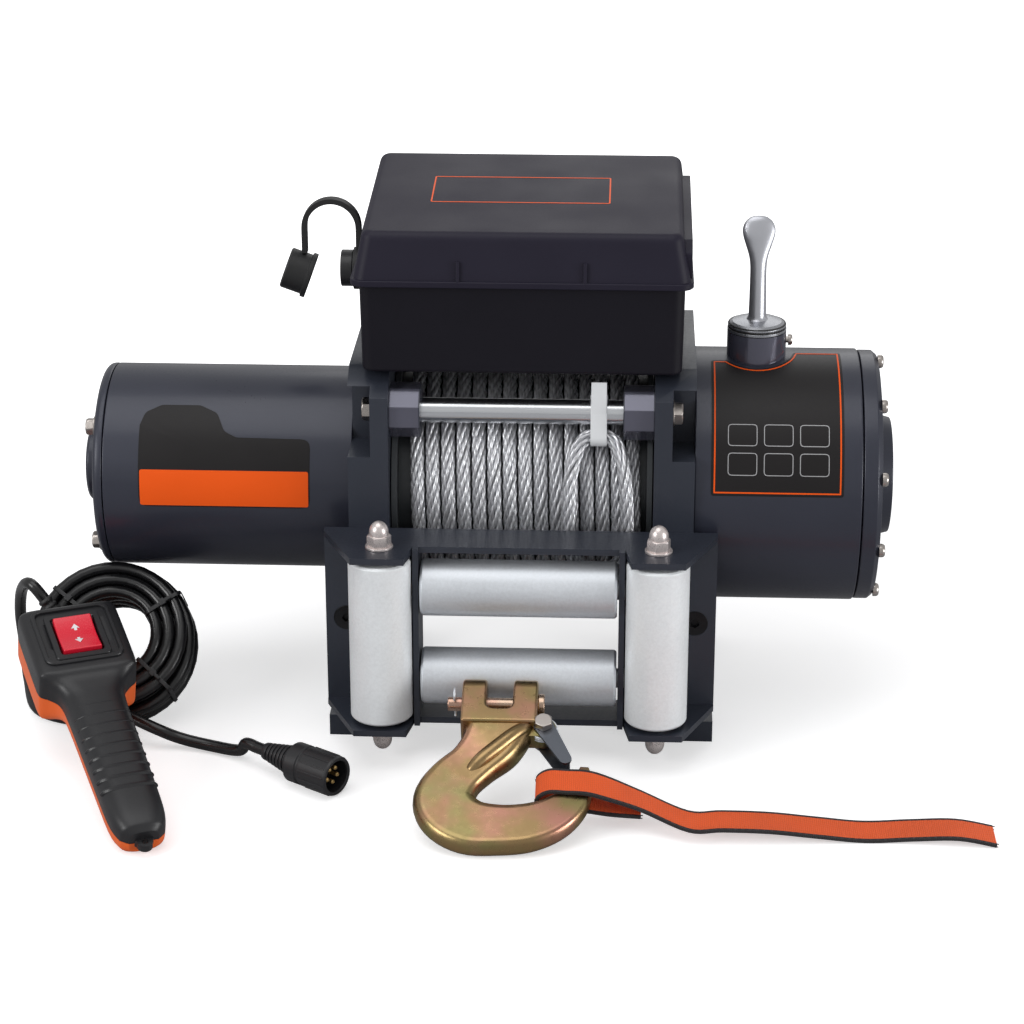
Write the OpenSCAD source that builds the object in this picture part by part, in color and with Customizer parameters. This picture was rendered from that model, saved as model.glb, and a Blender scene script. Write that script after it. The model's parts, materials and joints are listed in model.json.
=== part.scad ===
// Electric recovery winch with its roller fairlead, control box, clevis hook and hand remote.
// +X runs along the drum towards the gearbox, -Y is the rope side, +Z is up.
// The origin is the centre of the four foot bolts, on the underside of the feet.

/* [Drum supports] */
// Height of the drum axis above the underside of the feet
axis_h = 151; // [149:1:170]
// Distance from the middle of the drum to the inner face of a support
sup_in = 81; // [81:0.5:100]
// Thickness of a support along the drum
sup_t = 25; // [24:0.5:32]
// Thickness of the support's inner plate, beside the bolt pockets
sup_plate_t = 11; // [9:0.5:14]
// How far the supports reach in front of the gearbox
sup_over = 3; // [3:0.5:15]
// Height of a support's top above the drum axis
sup_top = 89; // [86:0.5:100]
// Width of the sloping top corner
sup_cham_y = 23; // [12:1:26]
// Height of the sloping top corner
sup_cham_z = 14; // [8:1:16]
// Radius of the arch between the legs
arch_r = 37; // [28:1:38]
// Height of the arch's centre above the underside of the feet
arch_h = 30; // [20:1:40]
// Thickness of a foot
foot_t = 14; // [10:1:18]
// Reach of a foot from the middle of the drum
foot_out = 121; // [118:0.5:130]
// Spacing of the foot bolts along the drum
foot_pitch_x = 216; // [214:0.5:224]
// Spacing of the foot bolts front to back
foot_pitch_y = 114.3; // [110:0.1:120]
// Diameter of a foot bolt hole
foot_hole_d = 11; // [9:0.5:13]
// Depth of the pocket round a tie rod bolt
pocket_y = 36; // [30:1:40]
// Bottom of that pocket above the drum axis
pocket_lo = 37; // [30:1:42]
// Top of that pocket above the drum axis
pocket_hi = 80; // [76:1:82]

/* [Tie rods] */
// Diameter of a tie rod
rod_d = 15.5; // [12:0.5:16]
// Distance of a tie rod behind the supports' front face
rod_in = 21; // [19:0.5:23]
// Height of a tie rod above the drum axis
rod_z = 61; // [60:0.5:63]
// Width across the flats of a tie rod boss
boss_af = 31; // [26:0.5:32]
// Length of a tie rod boss
boss_l = 19; // [14:0.5:24]
// Thread diameter of the tie rod bolts
rod_bolt_d = 8; // [6:1:8]
// Length of thread inside the rod
rod_bolt_l = 18; // [12:1:24]

/* [Drum and rope] */
// Diameter of the bare drum
drum_d = 64; // [56:1:70]
// Diameter of the drum flanges
flange_d = 150; // [148:0.5:151]
// Thickness of a drum flange
flange_t = 3.3; // [2.5:0.1:4]
// Diameter of the drum journals
journal_d = 40; // [36:0.5:42]
// Bore through the journals
journal_bore_d = 26; // [25.5:0.5:28]
// Thickness of the drum's tube wall
drum_wall = 6; // [4:0.5:8]
// Diameter of the rope
rope_d = 9.2; // [8.4:0.1:9.2]
// Outer diameter of the wound rope
pack_d = 145.8; // [140:0.2:146]
// Turns in the outer layer
pack_turns = 15; // [10:1:15]
// Width of the eye hanging from the tie, over the rope's middle
eye_w = 36; // [30:1:44]
// Place of the eye along the drum
eye_x = 47; // [30:1:47]
// Width of the white tie
tie_w = 7.5; // [5:0.5:9]
// Thickness of the white tie
tie_t = 1.2; // [1:0.1:2]

/* [Motor] */
// Outer diameter of the motor tube
motor_d = 129; // [126:0.5:132]
// Wall of the motor tube
motor_wall = 6; // [5:0.5:7]
// Length of the motor tube
motor_l = 156; // [150:1:180]
// Thickness of the end bell at its rim
bell_t = 11; // [9:0.5:14]
// Diameter of the bearing hub on the end bell
hub_d = 48; // [42:1:56]
// Height of the hub above the bell's face
hub_h = 7; // [4:0.5:10]
// Diameter of the motor and drive shaft
shaft_d = 16; // [14:0.5:17]
// Diameter of the armature core
armature_d = 92; // [80:1:93]
// Length of the armature core
armature_l = 65; // [50:1:70]
// Outer diameter of the motor bearings
bearing_d = 34; // [30:0.5:36]
// Width of a motor bearing
bearing_t = 10; // [8:0.5:12]
// Thickness of a field magnet
magnet_t = 9.5; // [7:0.5:10]
// Arc that a magnet covers, in degrees
magnet_arc = 64; // [40:1:68]
// Diameter of the circle of through bolts
through_pcd = 108; // [106:0.5:109]
// Diameter of a through bolt
through_d = 6; // [5:0.5:6]

/* [Gearbox] */
// Outer diameter of the gearbox housing
gearbox_d = 160; // [158:0.5:164]
// Length of the gearbox housing
gearbox_l = 103; // [90:1:120]
// Wall of the gearbox housing
gearbox_wall = 9; // [8.5:0.1:9]
// Thickness of the housing's end wall
gearbox_end_t = 6; // [5:0.5:8]
// Thickness of the cover at its rim
cover_t = 12; // [9:0.5:16]
// Diameter of the raised hub on the cover
cover_hub_d = 76; // [60:1:90]
// Height of that hub
cover_hub_h = 10; // [6:0.5:12]
// Number of cover screws
cover_screws_n = 10; // [6:1:12]
// Thickness of the ring gear behind its teeth
ring_rim = 3.2; // [3:0.1:4]
// Teeth on the sun gear
sun_n = 18; // [18:1:18]
// Teeth on a planet gear
planet_n = 18; // [18:1:18]
// Width of the planet gears
gear_w = 22; // [16:1:24]
// Diameter of a planet pin
planet_pin_d = 12; // [10:0.5:14]
// Thickness of the carrier's drum side plate
carrier_t = 8; // [6:0.5:10]

/* [Clutch] */
// Place of the clutch lever along the drum
clutch_x = 144.5; // [140:0.5:150]
// Diameter of the clutch boss
clutch_d = 37; // [34:0.5:42]
// Height of the boss's top above the housing
clutch_rise = 15.5; // [14:0.5:20]
// Diameter of the clutch spindle
spindle_d = 20; // [16:0.5:22]
// Height of the steel cap
clutch_cap_h = 7; // [5:0.5:9]
// Height of the lever's tip above the boss
lever_rise = 69.5; // [60:0.5:76]
// Diameter of the lever's arm at its foot
lever_d = 11.5; // [10:0.5:11.5]
// Width of the lever's flattened end
paddle_w = 20.5; // [16:0.5:24]
// How far the lever leans back
lever_lean = 15; // [8:1:20]

/* [Control box] */
// How far the box reaches past the supports' plates
box_over = 5; // [4:0.5:8]
// Depth of the box at its floor
box_d = 150; // [140:1:156]
// How much wider the box is at its rim
box_flare_w = 2; // [0:0.5:3]
// How much deeper the box is at its rim
box_flare_d = 3.5; // [0:0.5:4]
// Height of the box's base
box_h = 61; // [58:1:70]
// Wall of the box
box_wall = 2.6; // [2:0.1:3]
// How much wider the lid is than the box's rim
lid_over_w = 7; // [6:0.5:10]
// How much deeper the lid is than the box's rim
lid_over_d = 7.5; // [6.5:0.5:10]
// How much narrower the lid's top is than its skirt
lid_taper = 10; // [7:1:20]
// Height of the lid's front edge
lid_front_h = 32; // [28:1:40]
// Height of the lid's back edge
lid_back_h = 44; // [34:1:50]
// Wall of the lid
lid_wall = 1.8; // [1.6:0.1:2]
// Overlap of the lid over the base
lid_lap = 5.5; // [4:0.5:8]
// Diameter of the remote socket's barrel
socket_d = 23; // [20:0.5:24]
// Reach of the remote socket
socket_l = 18; // [14:0.5:22]
// Height of the remote socket above the box floor
socket_z = 41; // [36:0.5:41]
// Place of the socket front to back
socket_y = 8; // [-20:1:30]

/* [Roller fairlead] */
// Width of the fairlead
fair_w = 242; // [240:1:250]
// Height of the fairlead over its flanges
fair_h = 118; // [112:1:120]
// Height of its middle above the underside of the feet
fair_mid = 83; // [83:0.5:90]
// Thickness of its plate
fair_t = 4; // [3:0.5:5]
// Reach of the ears that hold the upright rollers
fair_ear_y = 47; // [45:1:50]
// Reach of the flanges between those ears
fair_mid_y = 26; // [16:1:28]
// Diameter of the upright rollers
up_d = 38.5; // [34:0.5:39]
// Distance of an upright roller from the middle
up_x = 84.5; // [84.5:0.5:90]
// Distance of the upright rollers in front of the plate
up_y = 28; // [25:0.5:30]
// Diameter of the level rollers
level_d = 35; // [32:0.5:35]
// Length of the level rollers
level_l = 120; // [110:1:120]
// Distance of the level rollers in front of the plate
level_y = 18.5; // [18:0.5:22]
// Distance between the level rollers, over their axes
level_pitch = 59; // [56:1:60]
// Diameter of the roller pins
pin_d = 12; // [10:0.5:12]
// Thread diameter at the ends of the upright pins
nut_thread_d = 8; // [6:1:8]
// Width across the flats of an acorn nut
nut_af = 13; // [11:1:14]
// Height of an acorn nut
nut_h = 16; // [13:0.5:17]
// Thickness of a washer
washer_t = 1.6; // [1:0.1:2]
// Diameter of the fairlead bolts' thread
fair_bolt_d = 8; // [6:1:10]

/* [Hook] */
// Length from the clevis pin to the belly
hook_l = 114; // [110:1:118]
// Angle at which the hook leans, in degrees
hook_tilt = 23.5; // [22:0.1:25]
// Place of the clevis pin along the drum
hook_x = -10; // [-14:1:-6]
// Thickness of the hook's belly
hook_t = 15; // [13:0.5:16]
// Width of the clevis over its ears
clevis_w = 46; // [42:1:48]
// Gap between the ears
clevis_gap = 16; // [14:0.5:17]
// Depth of the clevis
clevis_t = 24; // [22:1:26]
// Diameter of the clevis pin
clevis_pin_d = 8.6; // [8:0.1:9.6]
// Width of the pull strap
strap_w = 25; // [20:1:25]
// Thickness of the pull strap
strap_t = 1.8; // [1.4:0.1:2]

/* [Hand remote] */
// Length of the handset
remote_l = 196; // [190:1:200]
// Width of the handset's head
remote_w = 62; // [58:1:64]
// Height of the handset's head
remote_h = 39; // [36:0.5:40]
// Slope at which the handset leans, in degrees
remote_tilt = 17.7; // [17.5:0.1:19]
// Direction in which the handset points, in degrees
remote_turn = 24; // [23:0.5:25]
// Width of the rocker switch
rocker_w = 24; // [20:0.5:25]
// Length of the rocker switch
rocker_l = 31; // [28:0.5:32]
// Diameter of the remote's cord
cord_d = 7.5; // [6.5:0.1:7.5]
// Layers in the coil
coil_layers = 4; // [2:2:4]
// Turns in each layer
coil_turns = 3; // [2:1:3]
// Radius of the innermost turn
coil_in_r = 25.6; // [25:0.2:28]
// Angle at which the coil leans, in degrees
coil_tilt = 50; // [48:1:52]
// Diameter of the plug
plug_d = 25; // [22:0.5:26]
// Length of the plug's body
plug_l = 34; // [28:1:40]

/* [Hidden] */
$fn = 64;

// Overrun of a cut past the face that it opens
cut = 1;
// Radial clearance of a running fit
run_fit = 0.05;
// Radial clearance between fixed round pieces
seat_fit = 0.1;
// Gap between faces that pass each other
face_gap = 0.8;
// Radial clearance of a bolt in its hole
bolt_fit = 0.2;
// Edge break on turned and cast edges
edge = 1.5;

// Places along the drum
sup_out = sup_in + sup_t;
motor_in_x = -sup_out;
bell_x = -sup_out - motor_l;
gearbox_x = sup_out;
cover_x = gearbox_x + gearbox_l;
boss_in = sup_in - boss_l;
flange_out = sup_in - face_gap;
flange_in = flange_out - flange_t;

// Gears
ring_n = sun_n + 2 * planet_n;
pressure_angle = 20;
gear_slack = 0.12;
tip_shares = [1, 1.25];
cavity_r = gearbox_d / 2 - gearbox_wall;
gear_m = (cavity_r - ring_rim) / (ring_n / 2 + tip_shares[1]);
centre_r = gear_m * (sun_n + planet_n) / 2;
clutch_top = gearbox_d / 2 + clutch_rise;
lever_top = clutch_top + lever_rise;
carrier_x = gearbox_x + gearbox_end_t + carrier_t / 2;
gear_x = carrier_x + carrier_t + edge;
carrier_end_x = gear_x + gear_w + edge;
carrier_r = centre_r + planet_pin_d * 0.75;
carrier_end_t = carrier_t * 0.75;

// Rope
rope_r = rope_d / 2;
pack_r = pack_d / 2 - rope_r;
pack_gap = 0.4;
pack_travel = 2 * (flange_in - rope_r) - pack_gap;
pack_rings = 22;
tail_gap = 0.8;
tail_r = pack_d / 2 + rope_r + tail_gap;

// Supports: they reach past the gearbox and past the rope on the drum
sup_y = max(gearbox_d / 2 + sup_over, tail_r + rope_r);
rod_y = sup_y - rod_in;

// Fairlead
fair_back = -sup_y;
fair_front = -sup_y - fair_t;
fair_lo = fair_mid - fair_h / 2;
fair_hi = fair_mid + fair_h / 2;
ear_out = up_x - up_d / 2 - face_gap;
ear_t = 3.5;
level_in = ear_out - ear_t;
up_py = fair_front - up_y;
level_py = fair_front - level_y;
collar_t = 2.2;
up_l = fair_h - 2 * fair_t - 2 * collar_t - face_gap;
fair_bolt_x = foot_pitch_x / 2;

// Control box
box_z = axis_h + sup_top;
box_w = 2 * (sup_in + sup_plate_t + box_over);
box_rim_w = box_w + box_flare_w;
box_rim_d = box_d + box_flare_d;
lid_w = box_rim_w + lid_over_w;
lid_d = box_rim_d + lid_over_d;
lid_top_w = lid_w - lid_taper;
lid_top_d = lid_d - lid_taper;
rim_z = box_z + box_h;
skirt_z = rim_z - lid_lap;
box_corner = 7;

// Hook, as measured on its own plane from the clevis pin
hook_lean_gap = -0.15;
ear_r = clevis_t / 2;
ear_over = ear_r * 1.35;
belly_shares = [0.958, 0.0585];
hook_z = hook_l * (belly_shares[0] * sin(hook_tilt) + belly_shares[1] * cos(hook_tilt));
hook_y = level_py - level_d / 2 - ear_over - hook_lean_gap;
hook_shares = [
  // across, along, half width, half thickness
  [0.012, -0.15, 0.190, 0.090], [-0.035, -0.30, 0.170, 0.085], [-0.123, -0.425, 0.140, 0.070],
  [-0.215, -0.535, 0.147, 0.066], [-0.262, -0.655, 0.163, 0.066], [-0.225, -0.765, 0.168, 0.066],
  [-0.120, -0.838, 0.162, 0.066], [0.020, -0.853, 0.147, 0.066], [0.160, -0.838, 0.142, 0.064],
  [0.283, -0.785, 0.128, 0.060], [0.375, -0.700, 0.106, 0.054], [0.428, -0.600, 0.078, 0.046],
  [0.452, -0.505, 0.050, 0.038], [0.458, -0.440, 0.026, 0.026]
];
latch_u = 0.237 * hook_l;
latch_v = -0.193 * hook_l;
latch_l = 0.29 * hook_l;
latch_angle = -62;
lug_r = 7.5;
lug_t = 12;
latch_plate_t = 1.6;
latch_bolt_d = 6;

// Hand remote
remote_foot = [-212, -246.77, 8.8];
remote_pos = [
  // along the handset, half width, height of the top, depth of the underside
  [0, 0.28, 0.40, 0.36], [0.03, 0.46, 0.62, 0.56], [0.10, 0.545, 0.72, 0.68], [0.30, 0.57, 0.76, 0.72],
  [0.55, 0.60, 0.78, 0.72], [0.64, 0.70, 0.84, 0.80], [0.71, 0.93, 0.95, 0.96], [0.76, 1, 1, 1],
  [0.93, 1, 1, 1], [0.975, 0.90, 0.90, 0.90], [1, 0.66, 0.62, 0.62]
];
rocker_y = 0.84 * remote_l;
rocker_z = remote_h / 2 - 5;
rocker_gap = 1.2;
rocker_pin_d = 4;
rocker_pin_z = rocker_z + 1;
rocker_pin_l = rocker_w + 2 * rocker_gap + 5;

// Cord
cord_r = cord_d / 2;
coil_pitch = cord_d + 0.45;
coil_out_r = coil_in_r + coil_turns * coil_pitch;
coil_h = coil_layers * coil_pitch;
coil_rim_r = coil_out_r + cord_r;
coil_rings = 24;
coil_x = -260;
coil_lift = -1.2;
coil_z = coil_rim_r * sin(coil_tilt) + coil_h / 2 * cos(coil_tilt) + coil_lift;
coil_lean_gap = -0.68;
coil_top_r = coil_rim_r - coil_pitch / 2;
coil_y = ((axis_h - coil_z) * sin(coil_tilt) - coil_top_r - motor_d / 2 - coil_lean_gap) / cos(coil_tilt);

function cat(a, b) = [for (v = [a, b]) each v];
function unit(v) = v / norm(v);
function coil_to_world(p) = [
  coil_x + p[0],
  coil_y + p[1] * cos(coil_tilt) - p[2] * sin(coil_tilt),
  coil_z + p[1] * sin(coil_tilt) + p[2] * cos(coil_tilt)
];

// Local z along +X, local x along +Y, local y along +Z, from the drum axis
module on_axis(x) translate([x, 0, axis_h]) rotate([90, 0, 90]) children();
module both_sides() { children(); mirror([1, 0, 0]) children(); }
module both_faces() { children(); mirror([0, 1, 0]) children(); }
module ring(r_out, r_in, h) difference() {
  cylinder(r = r_out, h = h);
  translate([0, 0, -cut]) cylinder(r = r_in, h = h + 2 * cut);
}

// Points of a rectangle with round corners
function round_rect(w, d, r, n = 5) = [
  for (q = [0:3], i = [0:n])
    let (sx = (q == 0 || q == 3) ? 1 : -1, sy = q < 2 ? 1 : -1, a = 90 * q + 90 * i / n)
    [sx * (w / 2 - r) + r * cos(a), sy * (d / 2 - r) + r * sin(a)]
];

// A solid whose rings are given as lists of points, closed at both ends
module skin(rings) {
  n = len(rings[0]);
  m = len(rings);
  points = [for (loop = rings) each loop];
  sides = [
    for (k = [0:m - 2], i = [0:n - 1])
      let (a = k * n + i, b = k * n + (i + 1) % n)
      each [[a, b, b + n], [a, b + n, a + n]]
  ];
  foot = [for (i = [1:n - 2]) [0, i + 1, i]];
  head = [for (i = [1:n - 2]) [(m - 1) * n, (m - 1) * n + i, (m - 1) * n + i + 1]];
  polyhedron(points, [for (f = [sides, foot, head]) each [for (t = f) [t[0], t[2], t[1]]]]);
}

// Direction of a path at one of its points
function along(path, i) =
  unit(path[min(i + 1, len(path) - 1)] - path[max(i - 1, 0)]);

// Rings of a round tube along a path; up is never in line with it
function tube_rings(path, r, n, up) = [
  for (i = [0:len(path) - 1])
    let (t = along(path, i), a = unit(cross(t, up)), b = cross(t, a))
    [for (k = [0:n - 1]) path[i] + r * cos(360 * k / n) * a + r * sin(360 * k / n) * b]
];

// A smooth curve through the points of a route, with steps points to each stretch
function smooth(route, steps) = [
  for (i = [0:len(route) - 2], k = [0:steps - 1])
    let (
      a = route[max(i - 1, 0)], b = route[i], c = route[i + 1], d = route[min(i + 2, len(route) - 1)],
      s = k / steps
    )
    (2 * b + (c - a) * s + (2 * a - 5 * b + 4 * c - d) * s * s + (3 * b - a - 3 * c + d) * s * s * s) / 2,
  route[len(route) - 1]
];

// Least distance between a path's own turns, looked for some rings apart
function self_gap(path, skip, d) = min([
  for (i = [0:len(path) - 1 - skip], j = [i + skip:1:min(i + 3 * skip, len(path) - 1)])
    norm(path[i] - path[j])
]) - d;

// Involute flank: the half angle of a tooth at a radius
function involute(r, rb) = sqrt(pow(r / rb, 2) - 1) * 180 / PI - acos(min(1, rb / r));
function half_tooth(n, r, slack) =
  let (rp = gear_m * n / 2, rb = rp * cos(pressure_angle))
  90 / n + involute(rp, rb) - involute(max(r, rb), rb) - slack / rp * 180 / PI;
function flank(n, r0, r1, slack) = [
  for (i = [0:3]) let (r = r0 + (r1 - r0) * i / 3) [r, half_tooth(n, r, slack)]
];
function toothed(n, r0, r1, slack) = [
  for (k = [0:n - 1])
    let (f = flank(n, r0, r1, slack), a = 360 * k / n)
    each [
      for (i = [0:3]) f[i][0] * [cos(a - f[i][1]), sin(a - f[i][1])],
      for (i = [3:-1:0]) f[i][0] * [cos(a + f[i][1]), sin(a + f[i][1])]
    ]
];

// Drum supports

module support_outline() difference() {
  polygon([
    [-sup_y, -axis_h], [sup_y, -axis_h], [sup_y, sup_top - sup_cham_z], [sup_y - sup_cham_y, sup_top],
    [-sup_y + sup_cham_y, sup_top], [-sup_y, sup_top - sup_cham_z]
  ]);
  translate([0, arch_h - axis_h]) circle(r = arch_r);
  translate([-arch_r, -axis_h - cut]) square([2 * arch_r, arch_h + cut]);
}

foot_pocket_h = 30;
lug_y = 15;
lug_h = 32;
bush_t = sup_plate_t;
bush_wall = 4;
bush_r = journal_d / 2 + bush_wall;
boss_gap = 2.2;

module support(seat_r, seat_l) difference() {
  union() {
    on_axis(sup_in) linear_extrude(sup_t) support_outline();
    both_faces() {
      translate([sup_in, arch_r, 0]) cube([foot_out - sup_in, sup_y - arch_r, foot_t]);
      translate([boss_in, rod_y, axis_h + rod_z]) rotate([0, 90, 0]) rotate(22.5)
        cylinder(r = boss_af / 2 / cos(22.5), h = boss_l + cut, $fn = 8);
    }
    translate([sup_out - cut, -sup_y, fair_mid - lug_h / 2]) cube([foot_out - sup_out + cut, lug_y, lug_h]);
  }
  on_axis(boss_in - cut) cylinder(r = flange_d / 2 + boss_gap, h = boss_l + cut);
  both_faces() {
    translate([sup_in + sup_plate_t, sup_y - pocket_y, axis_h + pocket_lo])
      cube([sup_t, pocket_y + cut, pocket_hi - pocket_lo]);
    translate([boss_in - cut, rod_y, axis_h + rod_z]) rotate([0, 90, 0]) {
      cylinder(r = rod_d / 2 + seat_fit, h = boss_l + cut);
      cylinder(r = rod_bolt_d / 2 + bolt_fit, h = boss_l + sup_plate_t + 2 * cut);
    }
    translate([foot_pitch_x / 2, foot_pitch_y / 2, -cut]) cylinder(d = foot_hole_d, h = foot_t + 2 * cut);
    translate([sup_in + sup_plate_t, foot_pitch_y / 2 - foot_hole_d, foot_t])
      cube([foot_out, 2 * foot_hole_d, foot_pocket_h]);
  }
  on_axis(sup_in - cut) cylinder(r = bush_r, h = bush_t + cut);
  on_axis(sup_in) cylinder(r = journal_bore_d / 2 + edge, h = sup_t + cut);
  on_axis(sup_out - seat_l) cylinder(r = seat_r, h = seat_l + cut);
  translate([fair_bolt_x, -sup_y - cut, fair_mid]) rotate([-90, 0, 0])
    cylinder(d = fair_bolt_d + 2 * seat_fit, h = lug_y + 2 * cut);
  for (p = box_bolt_places) translate([p[0], p[1], box_z - box_bolt_l])
    cylinder(d = box_bolt_d + 2 * seat_fit, h = box_bolt_l + cut);
}
box_bolt_d = 6;
box_bolt_l = 14;
box_bolt_places = [[sup_in + sup_plate_t / 2 + 1.5, 45], [sup_in + sup_plate_t / 2 + 1.5, -45]];

module drum_support_left() color("#39424e") mirror([1, 0, 0]) support(bearing_d / 2, bearing_t);
module drum_support_right() color("#39424e")
  support(journal_d / 2 + 2 * edge, sup_t - bush_t + cut);

module drum_bushes() color("#b08d4a") both_sides() on_axis(sup_in + edge)
  ring(bush_r - seat_fit, journal_d / 2 + run_fit, bush_t - edge);

// Drum and rope

module drum() color("#2c3138") on_axis(0) rotate_extrude() polygon([
  [journal_bore_d / 2, -sup_in - bush_t], [journal_d / 2, -sup_in - bush_t], [journal_d / 2, -flange_out],
  [flange_d / 2, -flange_out], [flange_d / 2, -flange_in], [drum_d / 2, -flange_in],
  [drum_d / 2, flange_in], [flange_d / 2, flange_in], [flange_d / 2, flange_out],
  [journal_d / 2, flange_out], [journal_d / 2, carrier_x], [journal_bore_d / 2, carrier_x],
  [journal_bore_d / 2, flange_in - drum_wall], [drum_d / 2 - drum_wall, flange_in - drum_wall],
  [drum_d / 2 - drum_wall, -flange_in + drum_wall], [journal_bore_d / 2, -flange_in + drum_wall]
]);

module rope_core() color("#8a8f94") on_axis(-flange_in + seat_fit)
  ring(pack_r * cos(180 / pack_rings) - rope_r - seat_fit, drum_d / 2 + seat_fit, 2 * flange_in - 2 * seat_fit);

// The outer layer: one tube, its ends straight out of the core at the flanges
pack_steps = pack_turns * pack_rings;
pack_rise = pack_travel / pack_turns;
function pack_point(i) =
  let (a = 360 * i / pack_rings) [
    -pack_travel / 2 + pack_rise * i / pack_rings, pack_r * sin(a), axis_h - pack_r * cos(a)
  ];
pack_path = [for (i = [0:pack_steps]) pack_point(i)];
module rope_winding() color("#c9ccd0") skin(tube_rings(pack_path, rope_r, 6, [1, 0, 0]));
echo(winding_gap = self_gap(pack_path, pack_rings - 2, rope_d));

// The eye: the rope folds over into a loop that hangs on the front of the pack
eye_hang_angles = [222, 212, 202, 192, 182, 172, 162, 152.5, 146, 144];
eye_share = [0.10, 0.26, 0.42, 0.50, 0.50, 0.49, 0.46, 0.38, 0.24, 0];
eye_lift = 2;
function on_pack(x, a) =
  let (r = tail_r + eye_lift * max(0, min(1, (165 - a) / 15)))
  [x, r * cos(a), axis_h + r * sin(a)];
eye_route = [
  for (i = [0:9]) on_pack(eye_x - eye_w * eye_share[i], eye_hang_angles[i]),
  for (i = [8:-1:0]) on_pack(eye_x + eye_w * eye_share[i], eye_hang_angles[i])
];
ferrule_r = rope_d * 0.98;
ferrule_l = rope_d * 3;
function eye_rings(route) = [
  for (i = [0:len(route) - 1])
    let (
      t = along(route, i),
      out = unit([0, route[i][1], route[i][2] - axis_h]),
      a = unit(cross(t, out)), b = cross(t, a)
    )
    [for (k = [0:7]) route[i] + rope_r * cos(45 * k) * a + rope_r * sin(45 * k) * b]
];
module rope_tail() color("#c9ccd0") skin(eye_rings(eye_route));

// The tie round the rod and the top of the eye
tie_centre = [eye_x, -rod_y, axis_h + rod_z];
tie_top_r = rod_d / 2 + 2 * seat_fit;
eye_top = on_pack(eye_x, eye_hang_angles[9]);
tie_low_r = rope_r + 12 * seat_fit;
module tie_shape(extra) hull() {
  translate([-tie_centre[1], tie_centre[2]]) circle(r = tie_top_r + extra, $fn = 32);
  translate([-eye_top[1], eye_top[2]]) circle(r = tie_low_r + extra, $fn = 32);
}
module rope_tie() color("#e9ebee") translate([eye_x - tie_w / 2, 0, 0]) rotate([90, 0, 90]) mirror([1, 0])
  linear_extrude(tie_w) difference() {
    tie_shape(tie_t);
    tie_shape(0);
  }

// Tie rods

module tie_rod() difference() {
  rotate([0, 90, 0]) cylinder(d = rod_d, h = 2 * sup_in - 2 * seat_fit, center = true);
  both_sides() translate([sup_in - rod_bolt_l, 0, 0]) rotate([0, 90, 0])
    cylinder(d = rod_bolt_d + 2 * seat_fit, h = rod_bolt_l + cut);
}
module front_tie_rod() color("#d9dce0") translate([0, -rod_y, axis_h + rod_z]) tie_rod();
module rear_tie_rod() color("#d9dce0") translate([0, rod_y, axis_h + rod_z]) tie_rod();

bolt_head_h = rod_bolt_d * 0.65;
module hex_bolt(d, shank, head_h) {
  cylinder(d = d, h = shank);
  translate([0, 0, shank]) cylinder(d = d * 1.85, h = head_h, $fn = 6);
}
module tie_rod_bolts() color("#b9a99c") both_sides() both_faces()
  translate([sup_in - rod_bolt_l + cut, rod_y, axis_h + rod_z]) rotate([0, 90, 0])
    hex_bolt(rod_bolt_d, rod_bolt_l - cut + sup_plate_t, bolt_head_h);

// Motor

motor_r = motor_d / 2;
field_r = motor_r - motor_wall;
through_head_h = 5;
module motor_tube() color("#3e4450") on_axis(bell_x) ring(motor_r, field_r, motor_l);

function arc(cx, cy, r, a0, a1, n) =
  [for (i = [0:n]) let (a = a0 + (a1 - a0) * i / n) [cx + r * cos(a), cy + r * sin(a)]];

bell_round = bell_t * 0.7;
spigot_l = 4;
module motor_end_bell() color("#39424e") difference() {
  on_axis(bell_x) rotate_extrude() polygon(concat(
    [[0, -bell_t - hub_h], [hub_d / 2 - edge, -bell_t - hub_h], [hub_d / 2, -bell_t - hub_h + edge],
     [hub_d / 2, -bell_t]],
    arc(motor_r - bell_round, -bell_t + bell_round, bell_round, -90, 0, 6),
    [[motor_r, 0], [field_r - seat_fit, 0], [field_r - seat_fit, spigot_l],
     [bearing_d / 2, spigot_l], [bearing_d / 2, spigot_l - bearing_t - cut],
     [0, spigot_l - bearing_t - cut]]
  ));
  for (k = [0:3]) on_axis(bell_x - bell_t - cut) rotate(45 + 90 * k) translate([through_pcd / 2, 0, 0])
    cylinder(d = through_d + 2 * seat_fit, h = bell_t + spigot_l + 2 * cut);
}

module motor_through_bolts() color("#b9a99c") for (k = [0:3])
  on_axis(motor_in_x) rotate(45 + 90 * k) translate([through_pcd / 2, 0, 0]) mirror([0, 0, 1])
    hex_bolt(through_d, motor_l + bell_t, through_head_h);

magnet_gap = 2;
magnet_in_r = field_r - seat_fit - magnet_t;
core_x = bell_x + motor_l * 0.3;
module motor_magnets() color("#4a4d52") for (k = [0:3])
  on_axis(core_x - cut) rotate(90 * k - magnet_arc / 2) rotate_extrude(angle = magnet_arc)
    translate([magnet_in_r, 0]) square([magnet_t, armature_l + 2 * cut]);

module motor_bearings() color("#c2c6cb") {
  on_axis(bell_x + spigot_l - bearing_t) ring(bearing_d / 2 - seat_fit, shaft_d / 2 + run_fit, bearing_t);
  on_axis(-sup_out) ring(bearing_d / 2 - seat_fit, shaft_d / 2 + run_fit, bearing_t);
}

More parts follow.
